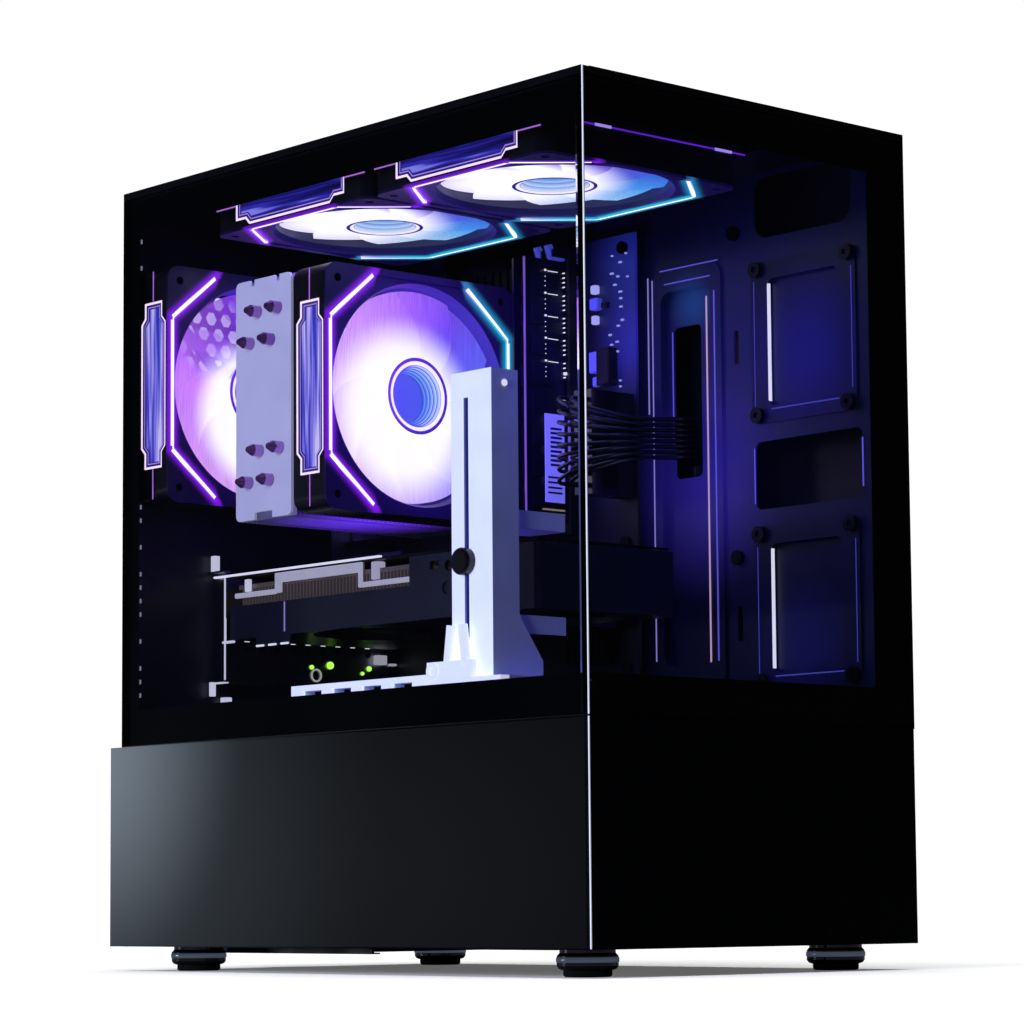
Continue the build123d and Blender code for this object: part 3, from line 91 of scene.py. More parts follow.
def soften(piece, width, steps=2):
    """Rounds the piece's sharp edges."""
    hold(piece)
    edge = piece.modifiers.new("edge", "BEVEL")
    edge.width = width * MM
    edge.segments = steps
    edge.limit_method = "ANGLE"
    edge.angle_limit = math.radians(35)
    bpy.ops.object.modifier_apply(modifier=edge.name)
    return piece


def slab(name, low, high, finishes, edge=0.3, steps=2):
    """A block between two corners, with its edges rounded."""
    clear()
    low, high = Vector(low) * MM, Vector(high) * MM
    bpy.ops.mesh.primitive_cube_add(size=1, location=(low + high) / 2, scale=high - low)
    piece = settle(name, finishes)
    return soften(piece, edge, steps) if edge else piece


def disc(name, centre, radius, height, finishes, axis="Z", sides=32, edge=0.2):
    """A round block about its middle, with its rims rounded."""
    clear()
    turn = {"X": (0, math.radians(90), 0), "Y": (math.radians(90), 0, 0), "Z": (0, 0, 0)}[axis]
    bpy.ops.mesh.primitive_cylinder_add(
        vertices=sides, radius=radius * MM, depth=height * MM, location=Vector(centre) * MM,
        rotation=turn
    )
    piece = settle(name, finishes)
    if edge:
        soften(piece, edge)
    smooth(piece)
    return piece


def smooth(piece, angle=35):
    hold(piece)
    bpy.ops.object.shade_smooth_by_angle(angle=math.radians(angle))
    return piece


def outline(name, corners, depth, finishes, place=None):
    """A flat shape with these corners, pulled to its depth along its own Z, then placed."""
    clear()
    bpy.ops.mesh.primitive_circle_add(vertices=len(corners), radius=MM, fill_type="NGON")
    piece = settle(name, finishes)
    for vertex, (x, y) in zip(piece.data.vertices, corners):
        vertex.co = (x * MM, y * MM, 0)
    bpy.ops.object.mode_set(mode="EDIT")
    bpy.ops.mesh.select_all(action="SELECT")
    bpy.ops.mesh.extrude_region_move(TRANSFORM_OT_translate={"value": (0, 0, depth * MM)})
    bpy.ops.mesh.select_all(action="SELECT")
    bpy.ops.mesh.normals_make_consistent(inside=False)
    bpy.ops.mesh.select_all(action="DESELECT")
    bpy.ops.object.mode_set(mode="OBJECT")
    if place is not None:
        piece.data.transform(place)
    return piece


def pick_faces(piece, wanted):
    """Selects the faces for which wanted(middle, normal) holds, and starts editing them."""
    hold(piece)
    bpy.ops.object.mode_set(mode="EDIT")
    bpy.ops.mesh.select_mode(type="FACE")
    bpy.ops.mesh.select_all(action="DESELECT")
    bpy.ops.object.mode_set(mode="OBJECT")
    for face in piece.data.polygons:
        face.select = wanted(face.center / MM, face.normal)
    bpy.ops.object.mode_set(mode="EDIT")


def step_in(piece, rings):
    """Insets the picked face again and again; a ring is a width, a depth and a finish."""
    for width, sink, finish in rings:
        if width:
            bpy.ops.mesh.inset(thickness=width * MM, depth=-sink * MM, use_even_offset=True)
        else:
            bpy.ops.mesh.extrude_region_shrink_fatten(
                TRANSFORM_OT_shrink_fatten={"value": -sink * MM}
            )
        piece.active_material_index = finish
        bpy.ops.object.material_slot_assign()
    bpy.ops.object.mode_set(mode="OBJECT")


def copied(piece, name, place):
    """Another of the same, with its own mesh, moved by a matrix."""
    twin = piece.copy()
    twin.data = piece.data.copy()
    twin.name = name
    twin.data.name = name
    bpy.context.collection.objects.link(twin)
    twin.data.transform(place)
    return twin


def joined(name, pieces):
    """Several pieces made one."""
    clear()
    for piece in pieces:
        piece.select_set(True)
    bpy.context.view_layer.objects.active = pieces[0]
    if len(pieces) > 1:
        bpy.ops.object.join()
    pieces[0].name = name
    pieces[0].data.name = name
    return pieces[0]


def fit(piece, body, slot, *nodes):
    """Hangs the piece on its body and hides the nodes that it stands for; the slot is not used."""
    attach(piece, body)
    if nodes:
        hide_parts(*nodes)
    return piece


def moved(x, y, z, turn=(0, 0, 0)):
    """The matrix that turns something and moves it by millimetres."""
    about_x, about_y, about_z = (Matrix.Rotation(turn[i], 4, "XYZ"[i]) for i in range(3))
    spin = about_z @ about_y @ about_x
    return Matrix.Translation(Vector((x, y, z)) * MM) @ spin


# ---------------------------------------------------------------- finishes


def tint(text):
    """The linear colour of a six figure hex colour."""
    values = [int(text[i : i + 2], 16) / 255 for i in (0, 2, 4)]
    return tuple(
        v / 12.92 if v <= 0.04045 else ((v + 0.055) / 1.055) ** 2.4 for v in values
    ) + (1.0,)


def node(tree, kind, inputs=None, **settings):
    """A new node with its settings; inputs takes values and the sockets that feed it."""
    made = tree.nodes.new(kind)
    for key, value in settings.items():
        setattr(made, key, value)
    for key, value in (inputs or {}).items():
        if isinstance(value, bpy.types.NodeSocket):
            tree.links.new(value, made.inputs[key])
        else:
            made.inputs[key].default_value = value
    return made


def maths(tree, operation, a, b=0.0, clamp=False):
    return node(
        tree, "ShaderNodeMath", {0: a, 1: b}, operation=operation, use_clamp=clamp
    ).outputs[0]


def vectors(tree, operation, a, b=(0, 0, 0)):
    return node(tree, "ShaderNodeVectorMath", {0: a, 1: b}, operation=operation).outputs


def ease(tree, value, low, high, start=0.0, end=1.0):
    """A smooth step from start to end while value goes from low to high."""
    found = node(
        tree,
        "ShaderNodeMapRange",
        {"Value": value, "From Min": low, "From Max": high, "To Min": start, "To Max": end},
        interpolation_type="SMOOTHSTEP",
    )
    return found.outputs["Result"]


def blend_colour(tree, factor, a, b, kind="MIX"):
    made = node(tree, "ShaderNodeMix", data_type="RGBA", blend_type=kind)
    for index, value in ((0, factor), (6, a), (7, b)):
        if isinstance(value, bpy.types.NodeSocket):
            tree.links.new(value, made.inputs[index])
        else:
            made.inputs[index].default_value = value
    return made.outputs[2]


def ramp(tree, factor, stops, kind="LINEAR"):
    """Colours along a line: pairs of a place and a hex colour."""
    made = node(tree, "ShaderNodeValToRGB", {"Fac": factor})
    made.color_ramp.interpolation = kind
    marks = made.color_ramp.elements
    while len(marks) < len(stops):
        marks.new(0.5)
    for mark, (place, colour) in zip(marks, stops):
        mark.position = place
        mark.color = tint(colour)
    return made.outputs["Color"]


def new_group(name, inputs, outputs):
    tree = bpy.data.node_groups.new(name, "ShaderNodeTree")
    for label, kind, value in inputs:
        socket = tree.interface.new_socket(label, in_out="INPUT", socket_type=kind)
        if value is not None:
            socket.default_value = value
    for label, kind in outputs:
        tree.interface.new_socket(label, in_out="OUTPUT", socket_type=kind)
    return tree, tree.nodes.new("NodeGroupInput").outputs, tree.nodes.new("NodeGroupOutput").inputs


def grain_group():
    """Fine grain for bumps, and slow patches for gloss and colour."""
    tree, given, out = new_group(
        "surface_grain",
        [("Vector", "NodeSocketVector", None), ("Scale", "NodeSocketFloat", 600.0)],
        [("Height", "NodeSocketFloat"), ("Patches", "NodeSocketFloat")],
    )
    fine = node(
        tree, "ShaderNodeTexNoise",
        {"Vector": given["Vector"], "Scale": given["Scale"], "Detail": 3.0}
    )
    slow_scale = maths(tree, "MULTIPLY", given["Scale"], 0.035)
    slow = node(
        tree, "ShaderNodeTexNoise", {"Vector": given["Vector"], "Scale": slow_scale, "Detail": 4.0}
    )
    tree.links.new(fine.outputs["Fac"], out["Height"])
    tree.links.new(ease(tree, slow.outputs["Fac"], 0.3, 0.7), out["Patches"])
    return tree


def octagon_group():
    """Distance from the fan's octagon line, in millimetres, in the fan's own plane."""
    tree, given, out = new_group(
        "octagon_line",
        [("Vector", "NodeSocketVector", None)],
        [
            ("Distance", "NodeSocketFloat"), ("Across", "NodeSocketFloat"),
            ("Radius", "NodeSocketFloat")
        ],
    )
    parts = node(tree, "ShaderNodeSeparateXYZ", {"Vector": given["Vector"]}).outputs
    side = maths(tree, "SUBTRACT", maths(tree, "ABSOLUTE", parts["X"]), OCTAGON_SIDE)
    rise = maths(tree, "SUBTRACT", maths(tree, "ABSOLUTE", parts["Y"]), OCTAGON_RISE)
    run, climb = (maths(tree, "MULTIPLY", a, b) for a, b in zip((side, rise), OCTAGON_SLANT))
    slant = maths(tree, "ADD", run, climb)
    edge = maths(tree, "ABSOLUTE", maths(tree, "MAXIMUM", side, slant))
    beyond = maths(tree, "MAXIMUM", maths(tree, "SUBTRACT", -27.5, side), 0.0)
    tree.links.new(maths(tree, "ADD", edge, beyond), out["Distance"])
    tree.links.new(parts["X"], out["Across"])
    flat = vectors(tree, "MULTIPLY", given["Vector"], (1, 1, 0))[0]
    tree.links.new(vectors(tree, "LENGTH", flat)["Value"], out["Radius"])
    return tree


GRAIN = grain_group()
OCTAGON = octagon_group()


def started(name, **values):
    """A new material, its tree and its shader; values are the shader's inputs, _ for a space."""
    made = bpy.data.materials.new(name)
    made.use_nodes = True
    shader = made.node_tree.nodes["Principled BSDF"]
    for key, value in values.items():
        shader.inputs[key.replace("_", " ")].default_value = value
    return made, made.node_tree, shader


def add_grain(tree, shader, scale, bump, rough, colours):
    """Fine bumps, patchy gloss and a little change of colour."""
    spot = node(tree, "ShaderNodeTexCoord").outputs["Object"]
    grain = node(tree, "ShaderNodeGroup", node_tree=GRAIN)
    tree.links.new(spot, grain.inputs["Vector"])
    grain.inputs["Scale"].default_value = scale
    patches = grain.outputs["Patches"]
    tree.links.new(ease(tree, patches, 0.0, 1.0, *rough), shader.inputs["Roughness"])
    tree.links.new(blend_colour(tree, patches, *colours), shader.inputs["Base Color"])
    if bump:
        lumps = node(
            tree, "ShaderNodeBump",
            {"Height": grain.outputs["Height"], "Strength": bump, "Distance": 0.0002}
        )
        tree.links.new(lumps.outputs["Normal"], shader.inputs["Normal"])
    return spot


def coat(
    name, colours, rough, metal=0.0, scale=900.0, bump=0.15, gloss=0.0, glow=None, pools=(),
    painted_lit_side=None, sheen=0.5
):
    """Paint, plating or moulded plastic between two close colours, with painted pools of lamplight, a
    painted lit side and a painted glow.
    """
    made, tree, shader = started(name, Metallic=metal, Coat_Weight=gloss, Specular_IOR_Level=sheen)
    spot = add_grain(tree, shader, scale, bump, rough, [tint(c) for c in colours])
    light = None
    # Painted light: each pool is a glow that fades out from a point.
    for middle, reach, colour in pools:
        away = vectors(tree, "DISTANCE", spot, Vector(middle) * MM)["Value"]
        near = ease(tree, away, 0.0, reach * MM, 1.0, 0.0)
        patch = blend_colour(tree, near, (0, 0, 0, 1), tint(colour))
        light = add_colours(tree, light, patch) if light else patch
    # Painted light: everything on the near side of a given X glows in one colour, as if lit from that
    # side.
    if painted_lit_side:
        across = node(tree, "ShaderNodeSeparateXYZ", {"Vector": spot}).outputs["X"]
        outer = ease(tree, across, (painted_lit_side[0] - 0.2) * MM, painted_lit_side[0] * MM, 1.0, 0.0)
        light = blend_colour(tree, outer, (0, 0, 0, 1), tint(painted_lit_side[1]))
    if light:
        tree.links.new(light, shader.inputs["Emission Color"])
        shader.inputs["Emission Strength"].default_value = 1.0
    # Painted light: an even glow in one colour, standing in for light that falls on the part.
    if glow:
        shader.inputs["Emission Color"].default_value = tint(glow)
        shader.inputs["Emission Strength"].default_value = 1.0
    return made


def shine(name, colour, strength=1.0):
    """A milky glow in one colour, a little uneven: used for real light guides and lamps, and for
    painted highlights and glints on parts that are no lamps.
    """
    made, tree, shader = started(
        name, Base_Color=tint("302840"), Emission_Strength=strength, Roughness=0.35
    )
    spot = node(tree, "ShaderNodeTexCoord").outputs["Object"]
    cloud = node(tree, "ShaderNodeTexNoise", {"Vector": spot, "Scale": 120.0, "Detail": 2.0})
    low = tuple(c * 0.86 for c in tint(colour)[:3]) + (1.0,)
    tree.links.new(
        blend_colour(tree, cloud.outputs["Fac"], low, tint(colour)), shader.inputs["Emission Color"]
    )
    return made


def fan_space(tree, centre, turn):
    """The fan's own coordinates in millimetres: X across, Y up its face, Z out of its lit face."""
    spot = node(tree, "ShaderNodeTexCoord").outputs["Object"]
    frame_map = node(tree, "ShaderNodeMapping", {"Vector": spot}, vector_type="TEXTURE")
    frame_map.inputs["Location"].default_value = Vector(centre) * MM
    frame_map.inputs["Rotation"].default_value = turn
    frame_map.inputs["Scale"].default_value = (MM, MM, MM)
    return frame_map.outputs["Vector"]


def add_colours(tree, a, b):
    return blend_colour(tree, 1.0, a, b, "ADD")


def housing_light(name, centre, turn, glow_left, glow_right, face, duct_stops):
    """A fan's black housing with the light that its inlays and its duct throw on it, painted as glow.
    """
    made, tree, shader = started(name, Emission_Strength=1.0)
    add_grain(tree, shader, 1100.0, 0.12, (0.32, 0.5), (tint("07060c"), tint("0b0a12")))
    local = fan_space(tree, centre, turn)
    line = node(tree, "ShaderNodeGroup", node_tree=OCTAGON)
    tree.links.new(local, line.inputs["Vector"])
    parts = node(tree, "ShaderNodeSeparateXYZ", {"Vector": local}).outputs
    # Painted light: a halo round the octagon inlays, a brighter bowl on the face and the lit inner
    # wall of the duct, all painted as glow.
    on_face = ease(tree, parts["Z"], 11.0, 11.6)
    halo = ease(tree, line.outputs["Distance"], 1.2, 7.0, 1.0, 0.0)
    halo = maths(tree, "POWER", halo, 2.2)
    halo = maths(tree, "MULTIPLY", halo, on_face)
    sides = blend_colour(
        tree, ease(tree, line.outputs["Across"], -10.0, 40.0), tint(glow_left), tint(glow_right)
    )
    spill = blend_colour(tree, halo, (0, 0, 0, 1), sides)
    bowl = maths(
        tree, "MULTIPLY", on_face, ease(tree, line.outputs["Radius"], 53.0, 66.0, 1.0, 0.35)
    )
    plain = blend_colour(tree, bowl, (0, 0, 0, 1), tint(face))
    wall = ease(tree, line.outputs["Radius"], *DUCT_EDGE, 1.0, 0.0)
    turned = node(
        tree, "ShaderNodeTexGradient", {"Vector": local}, gradient_type="RADIAL"
    ).outputs["Fac"]
    inner = blend_colour(tree, wall, (0, 0, 0, 1), ramp(tree, turned, duct_stops))
    light = add_colours(tree, add_colours(tree, spill, plain), inner)
    tree.links.new(light, shader.inputs["Emission Color"])
    return made


def rotor_light(name, centre, turn, stops, blob, soft, streaks, clear_spot=None):
    """Frosted blades lit from the hub: a white-hot patch in a ring of colours."""
    made, tree, shader = started(
        name, Emission_Strength=1.0, Base_Color=tint("2a2440"), Roughness=0.4
    )
    local = fan_space(tree, centre, turn)
    turned = node(
        tree, "ShaderNodeTexGradient", {"Vector": local}, gradient_type="RADIAL"
    ).outputs["Fac"]
    colours = ramp(tree, turned, stops)
    parts = node(tree, "ShaderNodeSeparateXYZ", {"Vector": local}).outputs
    flat = vectors(tree, "MULTIPLY", local, (1, 1, 0))[0]
    combed = vectors(tree, "MULTIPLY", local, streaks)[0]
    comb = node(
        tree, "ShaderNodeTexNoise", {"Vector": combed, "Scale": 1.0, "Detail": 1.0}
    ).outputs["Fac"]
    comb = ease(tree, comb, 0.3, 0.7, 0.86, 1.12)
    depth = ease(tree, parts["Z"], -6.0, 5.0, 0.94, 1.02)
    level = maths(tree, "MULTIPLY", comb, depth)
    toned = node(tree, "ShaderNodeVectorMath", {0: colours}, operation="SCALE")
    tree.links.new(level, toned.inputs["Scale"])
    away = vectors(tree, "DISTANCE", flat, blob + (0,))["Value"]
    hot = ease(tree, away, soft[0], soft[1], 1.0, 0.0)
    light = blend_colour(tree, hot, toned.outputs[0], (1.35, 1.3, 1.4, 1.0))
    tree.links.new(light, shader.inputs["Emission Color"])
    if clear_spot:
        gone = vectors(tree, "DISTANCE", flat, clear_spot + (0,))["Value"]
        tree.links.new(ease(tree, gone, 16.0, 34.0, 0.22, 1.0), shader.inputs["Alpha"])
    return made


def hub_light(name, centre, turn):
    """Bands of light down the stepped well of the hub."""
    made, tree, shader = started(name, Emission_Strength=1.0, Base_Color=tint("101030"))
    local = fan_space(tree, centre, turn)
    deep = node(tree, "ShaderNodeSeparateXYZ", {"Vector": local}).outputs["Z"]
    place = maths(tree, "DIVIDE", maths(tree, "ADD", deep, 1.5), 10.5)
    bands = []
    for i, (low, high) in enumerate(WELL_BANDS):
        bands += [(i / 5 + 0.005, low), ((i + 1) / 5 - 0.005, high)]
    tree.links.new(ramp(tree, place, bands), shader.inputs["Emission Color"])
    return made


def bar_light(name, centre, turn, left, right):
    """A light bar: white along its middle, coloured towards its edges."""
    made, tree, shader = started(name, Emission_Strength=1.0, Base_Color=tint("201830"))
    local = fan_space(tree, centre, turn)
    line = node(tree, "ShaderNodeGroup", node_tree=OCTAGON)
    tree.links.new(local, line.inputs["Vector"])
    sides = blend_colour(
        tree, ease(tree, line.outputs["Across"], 20.0, 52.0), tint(left), tint(right)
    )
    core = ease(tree, line.outputs["Distance"], 0.7, 1.1, 1.0, 0.0)
    tree.links.new(
        blend_colour(tree, core, sides, (1.5, 1.45, 1.5, 1)), shader.inputs["Emission Color"]
    )
    return made


def streak_light(name, centre, turn, stops, flow):
    """The lengthwise streaks inside a side window."""
    made, tree, shader = started(
        name, Emission_Strength=1.0, Base_Color=tint("181230"), Roughness=0.2
    )
    local = fan_space(tree, centre, turn)
    drawn = vectors(tree, "MULTIPLY", local, flow)[0]
    cloud = node(
        tree, "ShaderNodeTexNoise", {"Vector": drawn, "Scale": 1.0, "Detail": 2.0}
    ).outputs["Fac"]
    tree.links.new(ramp(tree, ease(tree, cloud, 0.3, 0.72), stops), shader.inputs["Emission Color"])
    return made


def glass(name, colour, density):
    """Clear tinted glass that lets lamps shine through."""
    made, tree, shader = started(
        name, Base_Color=tint(colour), Transmission_Weight=1.0, Roughness=0.0, IOR=1.3
    )
    spot = node(tree, "ShaderNodeTexCoord").outputs["Object"]
    waves = node(tree, "ShaderNodeTexNoise", {"Vector": spot, "Scale": 6.0})
    soft = node(
        tree, "ShaderNodeBump",
        {"Height": waves.outputs["Fac"], "Strength": 0.02, "Distance": 0.0005}
    )
    tree.links.new(soft.outputs["Normal"], shader.inputs["Normal"])
    through = node(tree, "ShaderNodeBsdfTransparent", {"Color": tint(density)})
    lamp = node(tree, "ShaderNodeLightPath").outputs["Is Shadow Ray"]
    mix = node(tree, "ShaderNodeMixShader", {0: lamp, 1: shader.outputs[0], 2: through.outputs[0]})
    tree.links.new(mix.outputs[0], tree.nodes["Material Output"].inputs["Surface"])
    return made


BLACK = coat("black_paint", ("040509", "06070b"), (0.36, 0.42), scale=1400, bump=0.05, sheen=0.25)
# Painted highlight: the skirt's rear end glows grey, fading forward, standing in for a softbox's
# reflection.
SKIRT_PAINTED_HIGHLIGHT = [((-104, 190, 112), 130, "66707a"), ((-104, 190, 80), 240, "2c3237")]
SKIRT = coat(
    "skirt_paint", ("040609", "05070a"), (0.33, 0.34), scale=4000, bump=0.02, pools=SKIRT_PAINTED_HIGHLIGHT,
    sheen=0.05
)
INNER_STEEL = coat(
    "inner_steel", ("0c0c20", "101028"), (0.36, 0.5), metal=0.2, scale=1100, bump=0.08
)
# Painted light: violet and blue pools of fan light on the tray.
TRAY_PAINTED_LIGHT = [
    ((82, -62, 236), 62, "26197c"), ((82, -84, 290), 96, "0d1048"), ((85, -52, 326), 20, "0a3468")
]
TRAY = coat(
    "tray_paint", ("050719", "06081e"), (0.34, 0.4), scale=3000, bump=0.02, pools=TRAY_PAINTED_LIGHT,
    sheen=0.3
)
# Painted light: blue pools on the drive seats.
SEAT_PAINTED_LIGHT = [((85, -128, 292), 52, "080a66"), ((85, -124, 152), 40, "04063a")]
SEATS = coat(
    "drive_seat", ("040516", "05071a"), (0.34, 0.42), scale=3000, bump=0.02, pools=SEAT_PAINTED_LIGHT,
    sheen=0.3
)
MOULDED = coat("moulded_black", ("08080b", "0c0c10"), (0.45, 0.6), scale=1000, bump=0.3)
GLOSSY = coat("glossy_black", ("050507", "08080b"), (0.08, 0.14), scale=300, bump=0.0, gloss=0.6)
RUBBER = coat("foot_rubber", ("0a0a0a", "111111"), (0.75, 0.9), scale=700, bump=0.4)
ZINC = coat("black_zinc", ("15151c", "22222c"), (0.22, 0.4), metal=0.9, scale=900)
TINNED = coat("tinned_steel", ("b6b8c4", "a2a4b2"), (0.22, 0.4), metal=1.0, scale=700)
# Painted light: the card's fins glow a dull copper.
COMB = coat("card_fins", ("6e625c", "5a504c"), (0.35, 0.5), metal=0.4, scale=700, glow="2e2826")
# Painted light: a faint violet glow on the heat pipes and cooler base.
NICKEL = coat(
    "nickel_plate", ("c89ad6", "8a62ac"), (0.14, 0.24), metal=1.0, scale=300, bump=0.03,
    glow="241428"
)
# Painted light: a violet pool on the lower fins of the cooler.
FIN_PAINTED_LIGHT = [((-30, 60, 216), 60, "5a28c8")]
FINS = coat("fin_sheet", ("c8c6da", "aaa8c2"), (0.28, 0.42), metal=0.9, scale=600, pools=FIN_PAINTED_LIGHT)
# Painted light: the cooler's top plate glows pale grey, as if lit.
PALE = coat(
    "pale_plate", ("d8d4e4", "cdc8dc"), (0.38, 0.5), metal=0.1, scale=900, bump=0.06, glow="747484"
)
# Painted light: the stand's outer side, towards the side glass, glows pale as if lit.
WHITE = coat(
    "white_coat", ("dfe6f6", "d2daee"), (0.4, 0.5), scale=1300, bump=0.03, painted_lit_side=(-89.7, "ccd0d8")
)
# Painted light: blue pools on the board beside the memory.
BOARD_PAINTED_LIGHT = [((74, -20, 310), 34, "26249a"), ((74, -20, 350), 40, "1c2484")]
BOARD = coat(
    "board_mask", ("07080f", "0b0d18"), (0.3, 0.42), scale=500, bump=0.1, pools=BOARD_PAINTED_LIGHT
)
MEMORY = coat("memory_board", ("06061a", "090920"), (0.28, 0.36), scale=500, bump=0.05)
SOCKET = coat("socket_plastic", ("0a0a10", "101018"), (0.4, 0.55), scale=900)
DARK_ALU = coat("dark_aluminium", ("14141c", "1c1c26"), (0.3, 0.45), metal=0.8, scale=800)
SLEEVE = coat("wire_sleeve", ("07070c", "0c0c14"), (0.12, 0.24), scale=400, bump=0.0, gloss=0.3)
KNOB = coat("knob_plastic", ("060607", "0a0a0c"), (0.25, 0.4), scale=900)
CARD = coat("card_housing", ("191a24", "1e1f2a"), (0.3, 0.42), scale=1100, bump=0.1)
MESH = coat("filter_mesh", ("090909", "101012"), (0.55, 0.7), scale=2200, bump=0.8)
PRINT = coat("black_print", ("010203", "020304"), (0.2, 0.26), scale=300, bump=0.0, sheen=0.1)
# Painted highlight: the polished edge glows pale grey.
EDGE = coat("polished_edge", ("c8ccd8", "b4b8c8"), (0.2, 0.3), scale=300, bump=0.0, glow="a6a9b5")
GLASS = glass("tinted_glass", "e4e6f2", "d8daec")

PINK_LINE = shine("pink_line", "ffe9ff", 1.4)
VIOLET_GAP = shine("violet_gap", "2a1478", 0.8)
LILAC_LINE = shine("lilac_line", "b89cff", 1.0)
PALE_LIGHT = shine("pale_light", "dfe6ff", 1.0)
VIOLET_EDGE = shine("violet_edge", "c47af0", 1.0)
BLUE_SPARK = shine("blue_spark", "5a86ff", 2.0)
GREEN_SPARK = shine("green_spark", "a8f04a", 2.0)
INDIGO_RIM = shine("indigo_rim", "24108a", 1.0)
BLUE_STEP = shine("blue_step", "2a58d0", 1.0)
WHITE_RING = shine("white_ring", "fffaff", 1.3)

PLAIN_FINISHES = {
    BLACK: "right_panel top_cover io_module power_button reset_button thumb_screws",
    SKIRT: "front_skirt side_skirt",
    INNER_STEEL: "base_pan rear_wall top_frame psu_shroud psu_housing",
    TRAY: "motherboard_tray",
    SEATS: "ssd_plates",
    MOULDED: "psu_switch psu_fan_rotor gpu_fan_rotor_front gpu_fan_rotor_rear",
    GLOSSY: "feet",
    RUBBER: "foot_pads",
    ZINC: "fasteners",
    TINNED: "io_ports rear_io_ports io_shield gpu_bracket",
    COMB: "gpu_heatsink",
    NICKEL: "heat_pipes cooler_base",
    FINS: "fin_stack",
    PALE: "cooler_top_plate",
    WHITE: "stand_base stand_pillar stand_arm_lower stand_arm_upper",
    BOARD: "motherboard gpu_board m2_ssd",
    MEMORY: "ram_modules",
    SOCKET: "board_sockets",
    DARK_ALU: "board_heatsinks gpu_backplate",
    SLEEVE: "cable_24pin cable_trunk",
    KNOB: "stand_knob",
    CARD: "gpu_shroud",
    MESH: "top_filter base_filter",
    GLASS: "side_glass front_glass",
}


def dress(name, finish):
    """Gives a node of the frame its finish."""
    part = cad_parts[name]
    if not part.material_slots:
        part.data.materials.append(finish)
    for slot in part.material_slots:
        slot.material = finish


for finish, names in PLAIN_FINISHES.items():
    for name in names.split():
        dress(name, finish)


# ---------------------------------------------------------------- fans

# Painted light on the inner wall of each fan's duct, round its turn.
DUCT_PAINTED_LIGHT_FRONT = [(0.0, "12063a"), (0.3, "1d0f5c"), (0.48, "3a2fb8"), (0.62, "4636c4"), (0.8, "3a1ea6")]
DUCT_PAINTED_LIGHT_FRONT += [(1.0, "1a0848")]
DUCT_PAINTED_LIGHT_DOWN = [(0.0, "2a1674"), (0.25, "120a48"), (0.5, "14184c"), (0.8, "3c22a0"), (1.0, "2a1674")]
DISC_FRONT = [
    (0.0, "efc0ff"), (0.12, "efbcff"), (0.25, "d9b6ff"), (0.38, "a9a4ff"), (0.5, "5c8af0")
]
DISC_FRONT += [(0.58, "6468e4"), (0.66, "7450dc"), (0.75, "b06cf2"), (0.86, "de9cf8")]
DISC_FRONT += [(1.0, "efc0ff")]
DISC_REAR = [(0.0, "d98cf6"), (0.2, "efb4ff"), (0.4, "d9a8ff"), (0.6, "b070f0"), (0.8, "8a3fe0")]
DISC_REAR += [(1.0, "d98cf6")]
DISC_DOWN = [(0.0, "d8c4ff"), (0.15, "eee2ff"), (0.3, "fbf6ff"), (0.42, "c4e6ff"), (0.52, "58b4f8")]
DISC_DOWN += [(0.62, "3f74e4"), (0.74, "6a50d8"), (0.88, "a884f0"), (1.0, "d8c4ff")]
WELL_BANDS = [
    ("2850c8", "7db8f8"), ("3468dc", "9fd0ff"), ("4a86ec", "c4e4ff"), ("6aa6f4", "e6f4ff")
]
WELL_BANDS += [("8fc0ff", "ffffff")]
# Per fan: disc colours, hot spot, its soft radii, streak scale, clear spot, the painted light on the
# duct wall and the painted glow on the housing's face.
FAN_LOOKS = {
    "cpu_fan": (
        DISC_FRONT, (-7.0, -8.0), (27.0, 50.0), (1.3, 0.05, 0.0), None, DUCT_PAINTED_LIGHT_FRONT, "16065a"
    ),
    "rear_fan": (
        DISC_REAR, (0.0, -10.0), (26.0, 42.0), (1.3, 0.05, 0.0), (-26.0, 30.0), DUCT_PAINTED_LIGHT_FRONT, "12054a"
    ),
    "top_fan_front": (
        DISC_DOWN, (-4.0, -12.0), (26.0, 50.0), (0.9, 0.9, 0.0), None, DUCT_PAINTED_LIGHT_DOWN, "1a0a56"
    ),
    "top_fan_rear": (
        DISC_DOWN, (-6.0, -10.0), (26.0, 50.0), (0.9, 0.9, 0.0), None, DUCT_PAINTED_LIGHT_DOWN, "1a0a56"
    ),
}


